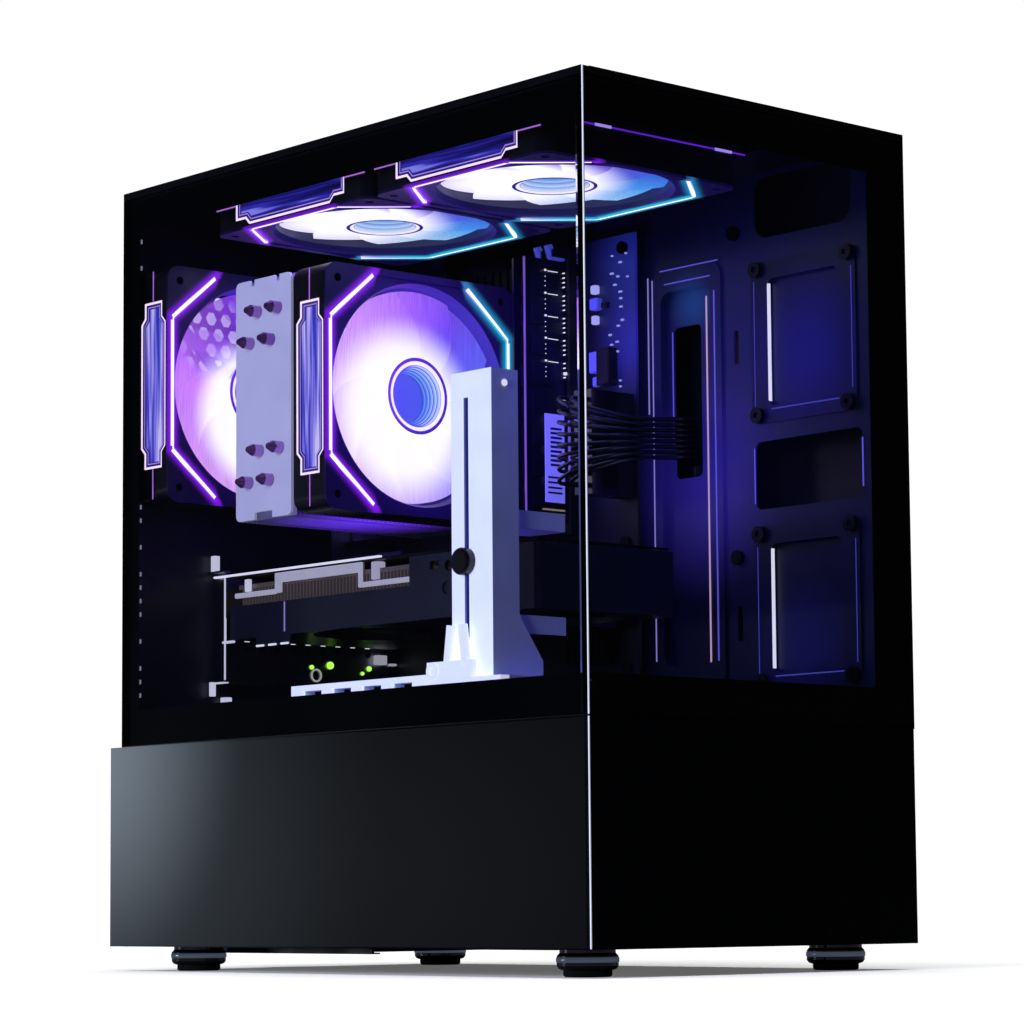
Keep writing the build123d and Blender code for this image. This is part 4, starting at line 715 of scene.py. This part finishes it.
def swept(name, finish, sweep, lifts, around, drop):
    """A thin web from hub to tip: an edge of this sweep and height, carried round the hub."""
    clear()
    bpy.ops.mesh.primitive_plane_add(size=2 * MM)
    web = settle(name, [finish])
    for vertex in web.data.vertices:
        vertex.select = vertex.co.y < 0
    for edge in web.data.edges:
        edge.select = False
    for face in web.data.polygons:
        face.select = False
    bpy.ops.object.mode_set(mode="EDIT")
    bpy.ops.mesh.select_mode(type="VERT")
    bpy.ops.mesh.delete(type="VERT")
    bpy.ops.mesh.select_all(action="SELECT")
    bpy.ops.mesh.subdivide(number_cuts=7)
    bpy.ops.object.mode_set(mode="OBJECT")
    row = sorted(web.data.vertices, key=lambda v: v.co.x)
    for i, vertex in enumerate(row):
        share = i / (len(row) - 1)
        radius = WEB_ROOT + (WEB_TIP - WEB_ROOT) * share
        angle = math.radians(sweep) * share**1.6
        height = lifts[0] + (lifts[1] - lifts[0]) * share
        vertex.co = Vector((radius * math.cos(angle), radius * math.sin(angle), height)) * MM
    hold(web)
    turn = web.modifiers.new("turn", "SCREW")
    turn.axis = "Z"
    turn.angle = math.radians(around)
    turn.screw_offset = -drop * MM
    turn.steps = math.ceil(around / 5)
    turn.render_steps = turn.steps
    turn.use_merge_vertices = around == 360
    bpy.ops.object.modifier_apply(modifier=turn.name)
    wall = web.modifiers.new("wall", "SOLIDIFY")
    wall.thickness = 1.1 * MM
    wall.offset = 0
    bpy.ops.object.modifier_apply(modifier=wall.name)
    bpy.ops.object.mode_set(mode="EDIT")
    bpy.ops.mesh.select_all(action="SELECT")
    bpy.ops.mesh.normals_make_consistent(inside=False)
    bpy.ops.object.mode_set(mode="OBJECT")
    return smooth(web, 50)


def hub(finishes):
    """The hub: a dark rim, a white ring and a stepped well."""
    clear()
    bpy.ops.mesh.primitive_cylinder_add(
        vertices=64, radius=HUB_RADIUS * MM, depth=17 * MM, location=(0, 0, MM)
    )
    core = settle("hub", finishes)
    pick_faces(core, lambda middle, normal: normal.z > 0.9)
    rings = [(0.3, 0.0, 1), (1.4, 0.0, 2), (1.9, 0.5, 4), (0.35, 0.0, 3)]
    for _ in range(5):
        rings += [(0, 2.1, 3), (0.1, 0.0, 4), (0.55, 0.0, 3)]
    rings[-1] = (0.4, 0.0, 5)
    step_in(core, rings)
    for face in core.data.polygons:
        if abs(face.normal.z) < 0.3:
            face.material_index = 6 if face.center.xy.length > (HUB_RADIUS - 0.5) * MM else 3
    return smooth(core, 30)


def make_rotor():
    """The spinning part of a case fan about its own middle."""
    looks = [bpy.data.materials.new("first_" + str(i)) for i in range(7)]
    core = hub(looks)
    blade = swept("blade", looks[6], 26, (7.4, 6.6), 58, 4.0)
    ring = [
        copied(blade, "blade_%d" % i, Matrix.Rotation(math.radians(40 * i), 4, "Z"))
        for i in range(9)
    ]
    bpy.data.objects.remove(blade)
    web = swept("web", looks[6], 0, (1.6, 1.6), 360, 0)
    return joined("rotor", [core, web] + ring)


BARS_HALF = [(58.1, 33.4), (58.1, -33.4), (31.2, -57.2), (29.8, -55.5), (55.9, -32.4), (55.9, 32.4)]
BARS_HALF += [(29.8, 55.5), (31.2, 57.2)]


def make_bars():
    """The two light strips of the octagon, each with a raised middle, about the fan's middle."""
    sides = []
    for side in (1, -1):
        corners = [(side * x, y) for x, y in BARS_HALF]
        strip = outline("strip", corners, 1.0, [PALE_LIGHT], moved(0, 0, 11.35))
        pick_faces(strip, lambda middle, normal: normal.z > 0.9)
        bpy.ops.mesh.inset(thickness=0.4 * MM, depth=0.12 * MM, use_even_offset=True)
        bpy.ops.object.mode_set(mode="OBJECT")
        sides.append(strip)
    return joined("bars", sides)


def make_window(panel):
    """The stepped light window in a fan's side, about the fan's own middle."""
    quarter = [(42.3, 7.3), (34.7, 7.3), (31.7, 10.3)]
    corners = quarter + [(-a, b) for a, b in reversed(quarter)]
    corners += [(-a, -b) for a, b in quarter] + [(a, -b) for a, b in reversed(quarter)]
    turn = Matrix(((0, 0, -1, -58.8 * MM), (1, 0, 0, 0), (0, -1, 0, 0), (0, 0, 0, 1)))
    window = outline("window", corners, 1.15, [PINK_LINE, VIOLET_GAP, LILAC_LINE, panel], turn)
    pick_faces(window, lambda middle, normal: normal.x < -0.9)
    step_in(window, [(1.05, 0.25, 1), (1.1, 0.2, 2), (0.55, 0.0, 1), (0.6, 0.3, 3)])
    seams = [window]
    for end in (-1, 1):
        low, high = sorted((end * 42.6, end * 58.0))
        seams.append(
            slab("seam", (-60.12, low, -0.35), (-59.9, high, 0.35), [VIOLET_EDGE], edge=0.05, steps=1)
        )
    return joined("window", seams)


rotor = make_rotor()
bars = make_bars()
SIDE_STREAKS = [(0.0, "2a2fae"), (0.35, "4a49d0"), (0.6, "8f86ee"), (1.0, "dcd6ff")]
DOWN_STREAKS = [(0.0, "0d0a2e"), (0.5, "1d1a78"), (0.8, "3a36c0"), (1.0, "8f8cf4")]

for name, (centre, turn, body) in FANS.items():
    stops, blob, soft, streaks, clear_spot, duct, face = FAN_LOOKS[name]
    place = moved(*centre, turn)
    up = turn == FACES_FRONT
    blades = rotor_light(name + "_blades", centre, turn, stops, blob, soft, streaks, clear_spot)
    well = hub_light(name + "_well", centre, turn)
    spinner = copied(rotor, name + "_wheel", place)
    for i, finish in enumerate(
        [INDIGO_RIM, INDIGO_RIM, WHITE_RING, well, BLUE_STEP, BLUE_STEP, blades]
    ):
        spinner.data.materials[i] = finish
    fit(spinner, body, "frosted_rotor", name + "_rotor")
    glow = bar_light(name + "_bar", centre, turn, "b55cff", "22d0e6")
    strip = copied(bars, name + "_light_bars", place)
    strip.data.materials[0] = glow
    panel = streak_light(
        name + "_panel", centre, turn, SIDE_STREAKS if up else DOWN_STREAKS, (0.1, 0.012, 0.3)
    )
    window = make_window(panel)
    window.data.transform(place)
    window.name = name + "_side_window"
    fit(window, "chassis", "light_diffuser")
    fit(strip, "chassis", "light_diffuser", "fan_lights")
    # The housing gets its painted glow: halo, face and duct.
    dress(
        name + "_frame",
        housing_light(name + "_housing", centre, turn, "8a1cf0", "0e90b8", face, duct)
    )

bpy.data.objects.remove(rotor)
bpy.data.objects.remove(bars)


# ---------------------------------------------------------------- glass borders and edges


def border(name, near, far, inner, turn):
    """The black print round a pane, open towards the corner that the panes share."""
    corners = [(near, 391.6), (far, 391.6), (far, 111.4), (near, 111.4), (near, 129.5)]
    corners += [(inner, 129.5), (inner, 371.5), (near, 371.5)]
    fit(outline(name + "_border", corners, 0.12, [PRINT], turn), name + "_pane", "black_plastic")


def rim(name, blocks, body):
    """Black edge bands of a pane, made one."""
    bands = [slab(name, low, high, [PRINT], edge=0.05, steps=1) for low, high in blocks]
    fit(joined(name, bands), body, "black_plastic")


BEHIND_SIDE = Matrix(((0, 0, 1, -99.52 * MM), (1, 0, 0, 0), (0, 1, 0, 0), (0, 0, 0, 1)))
BEHIND_FRONT = Matrix(((1, 0, 0, 0), (0, 0, 1, -172.02 * MM), (0, 1, 0, 0), (0, 0, 0, 1)))
border("side_glass", -171.6, 165.8, 155.4, BEHIND_SIDE)
border("front_glass", -99.2, 103.3, 80.0, BEHIND_FRONT)
rim(
    "side_glass_rim",
    [
        ((LEFT - 0.05, GLASS_BACK - 0.3, SEAM), (LEFT + 4.0, GLASS_BACK + 0.12, TOP + 0.02)),
        ((LEFT - 0.05, FRONT + 0.8, TOP - 0.5), (LEFT + 4.0, GLASS_BACK, TOP + 0.06)),
        ((LEFT - 0.05, FRONT + 0.8, SEAM - 0.06), (LEFT + 4.0, GLASS_BACK, SEAM + 0.5)),
    ],
    "side_glass_pane",
)
rim(
    "front_glass_rim",
    [
        ((RIGHT - 0.3, FRONT - 0.05, SEAM), (RIGHT + 0.12, FRONT + 4.0, TOP + 0.02)),
        ((LEFT + 4.2, FRONT - 0.05, TOP - 0.5), (RIGHT, FRONT + 4.0, TOP + 0.06)),
        ((LEFT + 4.2, FRONT - 0.05, SEAM - 0.06), (RIGHT, FRONT + 4.0, SEAM + 0.5)),
    ],
    "front_glass_pane",
)
# Painted highlight: a pale glowing line down the corner that the panes and skirts share.
for name, z0, z1, body, slot in (
    ("glass_corner_edge", SEAM + 0.4, TOP - 0.2, "side_glass_pane", "tinted_glass"),
    ("skirt_corner_edge", 12.4, SEAM - 0.4, "chassis", "skirt_paint"),
):
    low, high = (LEFT - 0.1, FRONT - 0.1, z0), (LEFT + 0.5, FRONT + 0.5, z1)
    fit(slab(name, low, high, [EDGE], 0.12), body, slot)


# ---------------------------------------------------------------- fittings inside, with painted highlights and glows


def strips(name, blocks, finish, body="chassis", slot="light_diffuser", edge=0.1):
    """Several small bars of one finish, made one piece."""
    made = [slab(name, low, high, [finish], edge=edge, steps=1) for low, high in blocks]
    return fit(joined(name, made), body, slot)


def upright(x, y, z0, z1, width=0.8, deep=0.5):
    """The corners of a thin upright bar on a face across X."""
    return (x - deep, y - width / 2, z0), (x, y + width / 2, z1)


# Painted light: the label, the gold contacts and the blue-grey parts glow as if lit.
LABEL = coat("label_paper", ("8a86d8", "7d78cc"), (0.5, 0.6), scale=600, bump=0.05, glow="6a66b8")
INK = coat("label_ink", ("17143c", "1c1946"), (0.5, 0.6), scale=600, bump=0.05)
GOLD = coat(
    "gold_contact", ("d8c79a", "c2ae80"), (0.25, 0.4), metal=1.0, scale=500, bump=0.0, glow="7a7264"
)
# Painted highlights: glints on parts that are no lamps.
BRIGHT = shine("bright_glint", "f4f2ff", 1.1)
SOFT = shine("soft_glint", "8f86d0", 1.0)
ROSE = shine("rose_glint", "c9a6c4", 1.0)
CHIP = coat(
    "blue_grey_part", ("5a62b0", "4c54a0"), (0.35, 0.45), scale=500, bump=0.05, glow="343c90"
)
# Painted shadow in a slot, with a painted violet glow in it.
SHADE = coat("slot_shadow", ("101040", "141448"), (0.6, 0.7), scale=500, bump=0.05, glow="1a1868")

# memory: a painted highlight along its outer edge, a label with plain bars and a painted glow, rows of
# parts and contacts drawn as painted glints
strips(
    "memory_lit_edge", [((37.0, 16.4, 224), (37.6, 17.5, 354.8))],
    shine("memory_edge_light", "8050c4", 0.9)
)
strips("memory_label", [((49.4, 15.75, 231.6), (62.6, 16.15, 276.4))], LABEL, slot="circuit_board")
bars_on_label = [((53.0, 15.6, 250.0 + 2.3 * i), (60.6, 15.9, 251.2 + 2.3 * i)) for i in range(9)]
bars_on_label += [((51.2, 15.6, 236.0 + 2.6 * i), (60.8, 15.9, 237.0 + 2.6 * i)) for i in range(4)]
strips("memory_label_bars", bars_on_label, INK, slot="circuit_board")
rows = []
for z in (349.0, 337.3, 325.8, 314.4, 302.8):
    rows += [((50.0, 15.6, z), (51.2, 16.2, z + 0.9)), ((52.2, 15.7, z), (59.0, 16.2, z + 0.35))]
    rows += [((63.4, 15.7, z - 2.4 * k), (63.9, 17.2, z - 2.4 * k + 0.6)) for k in range(4)]
    rows += [((50.3, 15.7, z - 3.0 - 2.4 * k), (50.7, 16.2, z - 2.6 - 2.4 * k)) for k in range(3)]
rows += [((63.6, 15.6, 297.2), (64.8, 17.2, 298.6)), ((62.8, 15.6, 284.4), (64.8, 17.2, 285.0))]
strips("memory_small_parts", rows, BRIGHT, slot="circuit_board", edge=0.05)
contacts = [
    ((48.4 + 1.5 * i, 15.8, z), (49.2 + 1.5 * i, 17.2, z + 0.8))
    for i in range(10)
    for z in (225.4, 227.6)
]
strips("memory_contacts", contacts, GOLD, slot="circuit_board", edge=0.05)
dress("ram_latches", CHIP)

# the board's edge beside the memory: its parts drawn with painted light and painted highlights, with
# dark parts among them
parts = [((70.4, 3.4, 338.0), (74.0, 7.4, 342.4)), ((70.4, 3.6, 322.4), (74.0, 7.0, 326.8))]
parts += [((70.8, 4.2, 284.0), (74.0, 7.6, 288.6)), ((70.4, -4.8, 271.6), (74.0, 0.0, 277.0))]
strips(
    "board_bright_parts", parts, shine("lit_pale_part", "b4b8ff", 1.0), slot="socket_plastic",
    edge=0.6
)
parts = [((69.8, 1.6, 329.6), (74.0, 7.4, 335.6)), ((69.0, 0.6, 297.4), (74.0, 7.4, 308.0))]
parts += [((71.0, 3.6, 290.6), (74.0, 7.0, 295.6))]
strips("board_grey_parts", parts, CHIP, slot="socket_plastic", edge=0.5)
parts = [((67.0, -9.0, 290.0), (74.0, 0.0, 309.0)), ((71.0, -3.6, 330.0), (74.0, 0.4, 333.0))]
strips("board_dark_parts", parts, SOCKET, slot="socket_plastic", edge=0.5)
scatter = []
for i, (y, z) in enumerate(
    [(-11, 358.7), (-12, 352), (-6, 347), (-10, 345), (-8, 341), (-12, 337), (-12, 333.6)]
):
    scatter.append(((73.0, y - 0.8, z - 0.4), (74.0, y + 0.8 + 0.3 * (i % 3), z + 0.5)))
for i, (y, z) in enumerate(
    [(-12, 329.5), (-13, 322.5), (-10, 320), (-4, 316), (-5, 311), (-9, 307), (-9, 312)]
):
    scatter.append(((73.0, y - 0.9, z - 0.5), (74.0, y + 0.9, z + 0.3 + 0.2 * (i % 2))))
for y, z in [
    (-11, 292), (-11, 289), (-10, 282), (-12, 281), (-12, 277.5), (-16, 356), (-17, 344), (-6, 356)
]:
    scatter.append(((73.0, y - 0.6, z - 0.4), (74.0, y + 0.6, z + 0.4)))
strips(
    "board_small_parts", scatter, shine("small_part_light", "a9aef4", 0.9), slot="socket_plastic",
    edge=0.1
)

# comb that holds the wires of the main plug apart, its bars a painted violet glow
comb = [((37.2, -14.9, 243.0), (38.6, -14.1, 268.0)), ((37.2, -24.6, 243.0), (38.6, -23.8, 268.0))]
comb += [((37.3, -24.2, 243.0 + 5.9 * i), (38.5, -14.4, 244.3 + 5.9 * i)) for i in range(5)]
strips("wire_comb", comb, shine("comb_light", "6a60d8", 0.9), slot="cable_sleeve", edge=0.2)

# the card: painted highlights on the edge of its stiff plate, bracket, side bar, end plate, post and
# rear plugs, and small lights under it
strips(
    "card_plate_edge", [((-48.5, 28.0, 198.5), (-46.6, 161.5, 199.5))], BRIGHT, slot="bracket_steel"
)
bracket = [
    ((-47.2, 153.6, 146.0), (-46.2, 154.4, 198.6)), ((-50.2, 158.0, 201.8), (-46.8, 161.6, 210.0))
]
bracket += [
    ((-50.0, 151.5, 144.4), (-46.0, 161.0, 145.3)), ((-51.4, 158.6, 138.0), (-48.8, 161.4, 145.2))
]
bracket += [
    ((-42.6, 158.6, 134.2), (-38.6, 163.6, 137.8)), ((-48.6, 151.0, 165.6), (-47.8, 152.2, 177.6))
]
bracket += [
    ((-48.6, 145.2, 164.6), (-46.6, 154.2, 165.8)), ((-48.4, 131.6, 189.8), (-46.4, 135.4, 196.0))
]
strips(
    "card_bracket_edges", bracket, shine("lit_steel", "dcdcec", 1.0), slot="bracket_steel", edge=0.3
)
bar = [
    ((-48.6, 110.0, 186.9), (-46.9, 143.5, 189.4)), ((-48.6, 105.6, 187.4), (-46.9, 110.4, 197.3))
]
bar += [((-48.6, 44.0, 192.4), (-46.9, 106.0, 197.3)), ((-48.6, 41.8, 185.0), (-46.9, 44.4, 197.3))]
bar += [((-48.6, 6.0, 184.9), (-46.9, 42.0, 187.4))]
strips("card_side_bar", bar, shine("lit_side_bar", "b4b2c4", 1.0), slot="dark_aluminium", edge=0.4)
dashes = [((-48.4, y - 3.2, 161.2), (-47.4, y + 3.2, 162.2)) for y in (123.0, 113.0, 103.0)]
strips(
    "card_lower_lip", [((-47.6, 99.0, 161.0), (-46.6, 127.0, 166.2))], CARD, slot="black_plastic",
    edge=0.2
)
strips("card_low_dashes", dashes, BRIGHT, slot="bracket_steel", edge=0.3)
strips(
    "card_seam", [((-48.3, 102.4, 167.6), (-47.9, 103.2, 182.6))], SOFT, slot="bracket_steel",
    edge=0.05
)
# Painted highlights on two white plugs at the rear.
spots = [((57.6, 158.0, 158.8), (64.0, 162.4, 163.8)), ((68.4, 160.0, 158.6), (72.4, 163.6, 159.8))]
strips(
    "rear_white_plugs", spots, shine("white_plug", "b8b8bc", 0.8), slot="socket_plastic", edge=0.4
)
post = disc(
    "card_post", (-44.5, 33.5, 192.6), 3.4, 8.6, [shine("lit_post", "b9b4cc", 0.9)], edge=0.5
)
fit(post, "chassis", "bracket_steel")


def bead(name, centre, radius, finish, back=(0, 1, 0)):
    """A small lens: a rounded ball flattened on its back."""
    clear()
    place = Vector(centre) * MM
    bpy.ops.mesh.primitive_uv_sphere_add(
        segments=16, ring_count=10, radius=radius * MM, location=place
    )
    ball = settle(name, [finish])
    pick_faces(
        ball, lambda middle, normal: (middle - Vector(centre)).dot(Vector(back)) > radius * 0.5
    )
    bpy.ops.mesh.delete(type="FACE")
    bpy.ops.mesh.select_all(action="DESELECT")
    bpy.ops.mesh.select_mode(type="EDGE")
    bpy.ops.mesh.select_non_manifold()
    bpy.ops.mesh.edge_face_add()
    bpy.ops.object.mode_set(mode="OBJECT")
    return smooth(ball, 60)


REAR_LIGHTS = [
    ((28.2, 162.0, 157.2), 2.0), ((15.9, 162.0, 155.8), 1.2), ((54.6, 162.0, 156.5), 1.4)
]
REAR_LIGHTS += [((50.1, 162.0, 153.8), 1.0)]
beads = [bead("bead", centre, radius, GREEN_SPARK) for centre, radius in REAR_LIGHTS]
fit(joined("rear_status_lights", beads), "chassis", "light_diffuser")
# Painted reflection: a pale ring below the card, glowing though it is no lamp.
clear()
bpy.ops.mesh.primitive_torus_add(
    location=Vector((18.9, 161.9, 151.6)) * MM,
    rotation=(math.radians(90), 0, 0),
    major_radius=3.1 * MM,
    minor_radius=0.48 * MM,
    major_segments=28,
    minor_segments=8,
)
ring = settle("rear_ring", [shine("ring_light", "b8bca8", 0.8)])
fit(smooth(ring, 60), "chassis", "port_steel")
spark = bead("front_blue_light", (81.2, -150.5, 382.2), 1.5, BLUE_SPARK, back=(1, 0, 0))
fit(spark, "chassis", "light_diffuser")

# the card stand: a painted shadow with a painted violet glow in its slot, and a painted glint on its
# screw
strips(
    "stand_slot_shade", [((-88.8, -86.2, 151.0), (-88.5, -82.2, 258.4))], SHADE, slot="white_plate",
    edge=0.05
)
stud = disc("stand_screw", (-82.2, -101.8, 264.2), 1.5, 1.0, [BRIGHT], axis="Y", sides=20)
fit(stud, "chassis", "white_plate")

# painted highlights on the tray's stampings: its raised face, the floor of its channel, the drive
# seats, and its opening
RAISED, CHANNEL, SEAT_RIM = 80.6, 84.9, 81.0
glints = [upright(81.9, -23.2, 274, 343, 0.7), upright(RAISED, -27.6, 150, 341, 0.6)]
strips("tray_ridge_glints", glints, SOFT, slot="tray_steel")
strips("tray_rose_glint", [upright(CHANNEL, -61.2, 148, 329, 0.9)], ROSE, slot="tray_steel")
glints = [
    upright(RAISED, -70.7, 148, 330, 0.8), ((RAISED - 0.4, -73.5, 344.4), (RAISED, -33.0, 345.0))
]
glints += [
    ((RAISED - 0.4, -68.0, 337.4), (RAISED, -36.0, 338.0)), upright(CHANNEL, -37.4, 256, 314, 0.6)
]
strips("tray_blue_glints", glints, shine("tray_blue_light", "5c5cd8", 0.9), slot="tray_steel")
seat_lines = [
    ((SEAT_RIM, -106.4, z0 + 8), (SEAT_RIM + 2.2, -105.9, z0 + 66)) for z0 in (263.0, 134.0)
]
strips("seat_bright_edges", seat_lines, BRIGHT, slot="tray_steel", edge=0.15)
seat_lines = [upright(SEAT_RIM, -160.6, z0 + 8, z0 + 66, 0.5, 0.3) for z0 in (263.0, 134.0)]
seat_lines += [upright(SEAT_RIM, -97.4, z0 + 6, z0 + 68, 0.5, 0.3) for z0 in (262.0, 133.0)]
seat_lines += [
    ((SEAT_RIM - 0.3, -152.0, z0), (SEAT_RIM, -108.0, z0 + 0.6)) for z0 in (266.6, 138.1)
]
strips(
    "seat_dim_edges", seat_lines, shine("seat_line_light", "3c40b0", 0.9), slot="tray_steel",
    edge=0.1
)
opening = [upright(81.9, -95.6, 222, 249, 0.5), upright(81.9, -165.4, 224, 247, 0.7)]
strips("tray_opening_glints", opening, shine("opening_light", "6a5cf0", 0.9), slot="tray_steel")

# painted glow along the front edge of the top fan, with two painted hot spots, and painted light in
# the slots of the rear edge
strips(
    "top_front_seam", [((-70.0, -138.4, 378.2), (34.0, -137.9, 378.9))],
    shine("seam_purple", "6a22e0", 1.0)
)
strips(
    "top_front_hot_spots",
    [((-62.0, -138.7, 378.0), (-52.0, -138.0, 379.2)), ((14.0, -138.7, 377.9), (25.0, -138.0, 379.1))],
    LILAC_LINE
)
dots = []
for i in range(36):
    if i % 7 not in (3, 5):
        dots.append(((-93.0, 162.6, 136.0 + 6.8 * i), (-92.4, 163.6, 138.2 + 6.8 * i)))
strips(
    "rear_edge_slots", dots, shine("rear_slot_light", "8a8a9c", 0.9), slot="case_steel", edge=0.1
)

# feet: a chrome band over each pad, its highlights painted as a grey glow
CHROME = coat(
    "chrome_band", ("8890a4", "5c6478"), (0.12, 0.2), metal=1.0, scale=60, bump=0.0, glow="3c4350"
)
bands = [disc("band", (x, y, 7.4), 13.7, 2.4, [CHROME], sides=48, edge=0.5) for x, y in FOOT_SPOTS]
fit(joined("foot_bands", bands), "chassis", "foot_plastic")


# ---------------------------------------------------------------- room and light


def stage():
    """A pale floor and a white room that only the eye sees."""
    clear()
    bpy.ops.mesh.primitive_plane_add(size=60, location=(0, 0, 0))
    floor = settle("pale_floor")
    made, tree, shader = started(
        "floor_paint",
        Base_Color=(0.8, 0.8, 0.8, 1),
        Roughness=0.6,
        Specular_IOR_Level=0.1,
        Emission_Color=(1, 1, 1, 1),
        Emission_Strength=0.12,
    )
    eye = node(tree, "ShaderNodeLightPath").outputs["Is Camera Ray"]
    dull = node(tree, "ShaderNodeBsdfDiffuse", {"Color": (0.07, 0.075, 0.09, 1)})
    mix = node(tree, "ShaderNodeMixShader", {0: eye, 1: dull.outputs[0], 2: shader.outputs[0]})
    tree.links.new(mix.outputs[0], tree.nodes["Material Output"].inputs["Surface"])
    floor.data.materials.append(made)
    world = bpy.data.worlds.new("room")
    bpy.context.scene.world = world
    world.use_nodes = True
    tree = world.node_tree
    dim = node(tree, "ShaderNodeBackground", {"Color": (0.7, 0.78, 1.0, 1), "Strength": 0.02})
    bright = node(tree, "ShaderNodeBackground", {"Color": (1, 1, 1, 1), "Strength": 1.05})
    path = node(tree, "ShaderNodeLightPath").outputs
    straight = maths(
        tree, "LESS_THAN", maths(tree, "ADD", path["Glossy Depth"], path["Diffuse Depth"]), 0.5
    )
    through = maths(tree, "MULTIPLY", path["Is Transmission Ray"], straight)
    seen = maths(tree, "MAXIMUM", path["Is Camera Ray"], through)
    mix = node(tree, "ShaderNodeMixShader", {0: seen, 1: dim.outputs[0], 2: bright.outputs[0]})
    tree.links.new(mix.outputs[0], tree.nodes["World Output"].inputs["Surface"])
    return floor


def lamp(name, kind, spot, power, colour, size, aim=None, shows=False):
    """A lamp in millimetres, aimed at a point."""
    data = bpy.data.lights.new(name, kind)
    data.energy = power
    data.color = tint(colour)[:3]
    if kind == "AREA":
        data.shape = "RECTANGLE"
        data.size, data.size_y = size[0] * MM, size[1] * MM
    elif kind == "POINT":
        data.shadow_soft_size = size * MM
    lamp_object = bpy.data.objects.new(name, data)
    lamp_object.location = Vector(spot) * MM
    if aim:
        lamp_object.rotation_euler = (Vector(aim) - Vector(spot)).to_track_quat("-Z", "Y").to_euler()
    bpy.context.collection.objects.link(lamp_object)
    lamp_object.visible_camera = False
    lamp_object.visible_transmission = False
    lamp_object.visible_glossy = shows
    return lamp_object


floor = stage()
sun = lamp("overhead_sky", "SUN", (0, 0, 2000), 3.9, "ffffff", None, (0, 0, 0))
sun.data.angle = math.radians(50)
only_floor = bpy.data.collections.new("lit_by_sky")
only_floor.objects.link(floor)
sun.light_linking.receiver_collection = only_floor
lamp(
    "skirt_softbox", "AREA", (-1330, 1560, 60), 1.6, "f2f5ff", (420, 150), (-103, 150, 60),
    shows=True
)
lamp("front_left_softbox", "AREA", (-1700, -300, 500), 32, "eaf0ff", (600, 600), (-90, 0, 200))
lamp("cpu_fan_glow", "POINT", (-35, 5, 285), 0.6, "a04cff", 14)
lamp("rear_fan_glow", "POINT", (-60, 120, 300), 0.4, "b04cff", 12)
lamp("top_front_glow", "AREA", (-30, -78, 350), 0.6, "5a48ff", (90, 90), (-30, -78, 0))
lamp("top_rear_glow", "AREA", (-30, 20, 352), 0.4, "7a48ff", (80, 50), (-30, 20, 0))
lamp("front_room_glow", "POINT", (30, -150, 330), 0.14, "2434ff", 14)
lamp("front_room_low_glow", "POINT", (45, -150, 190), 0.03, "2a30ff", 14)


# ---------------------------------------------------------------- camera

EYE_SPOT = (-1053.89, -1192.38, 32.16)
EYE_TURN = (41.762, 5.736, -0.460)
EYE_LENS, EYE_SHIFT = 115.71, 0.0586


def eye():
    """The camera at the viewer's place, turned by yaw, pitch and roll."""
    yaw, pitch, roll = (math.radians(v) for v in EYE_TURN)
    ahead = Vector(
        (math.sin(yaw) * math.cos(pitch), math.cos(yaw) * math.cos(pitch), math.sin(pitch))
    )
    right = Vector((math.cos(yaw), -math.sin(yaw), 0))
    up = right.cross(ahead)
    tilted_right = right * math.cos(roll) + up * math.sin(roll)
    tilted_up = -right * math.sin(roll) + up * math.cos(roll)
    view = Matrix((tilted_right, tilted_up, -ahead)).transposed().to_4x4()
    view.translation = Vector(EYE_SPOT) * MM
    data = bpy.data.cameras.new("eye")
    data.lens = EYE_LENS
    data.shift_y = EYE_SHIFT
    data.sensor_width = 36.0
    data.clip_start = 0.05
    camera = bpy.data.objects.new("eye", data)
    camera.matrix_world = view
    bpy.context.collection.objects.link(camera)
    bpy.context.scene.camera = camera


eye()
bpy.context.scene.view_settings.view_transform = "Standard"
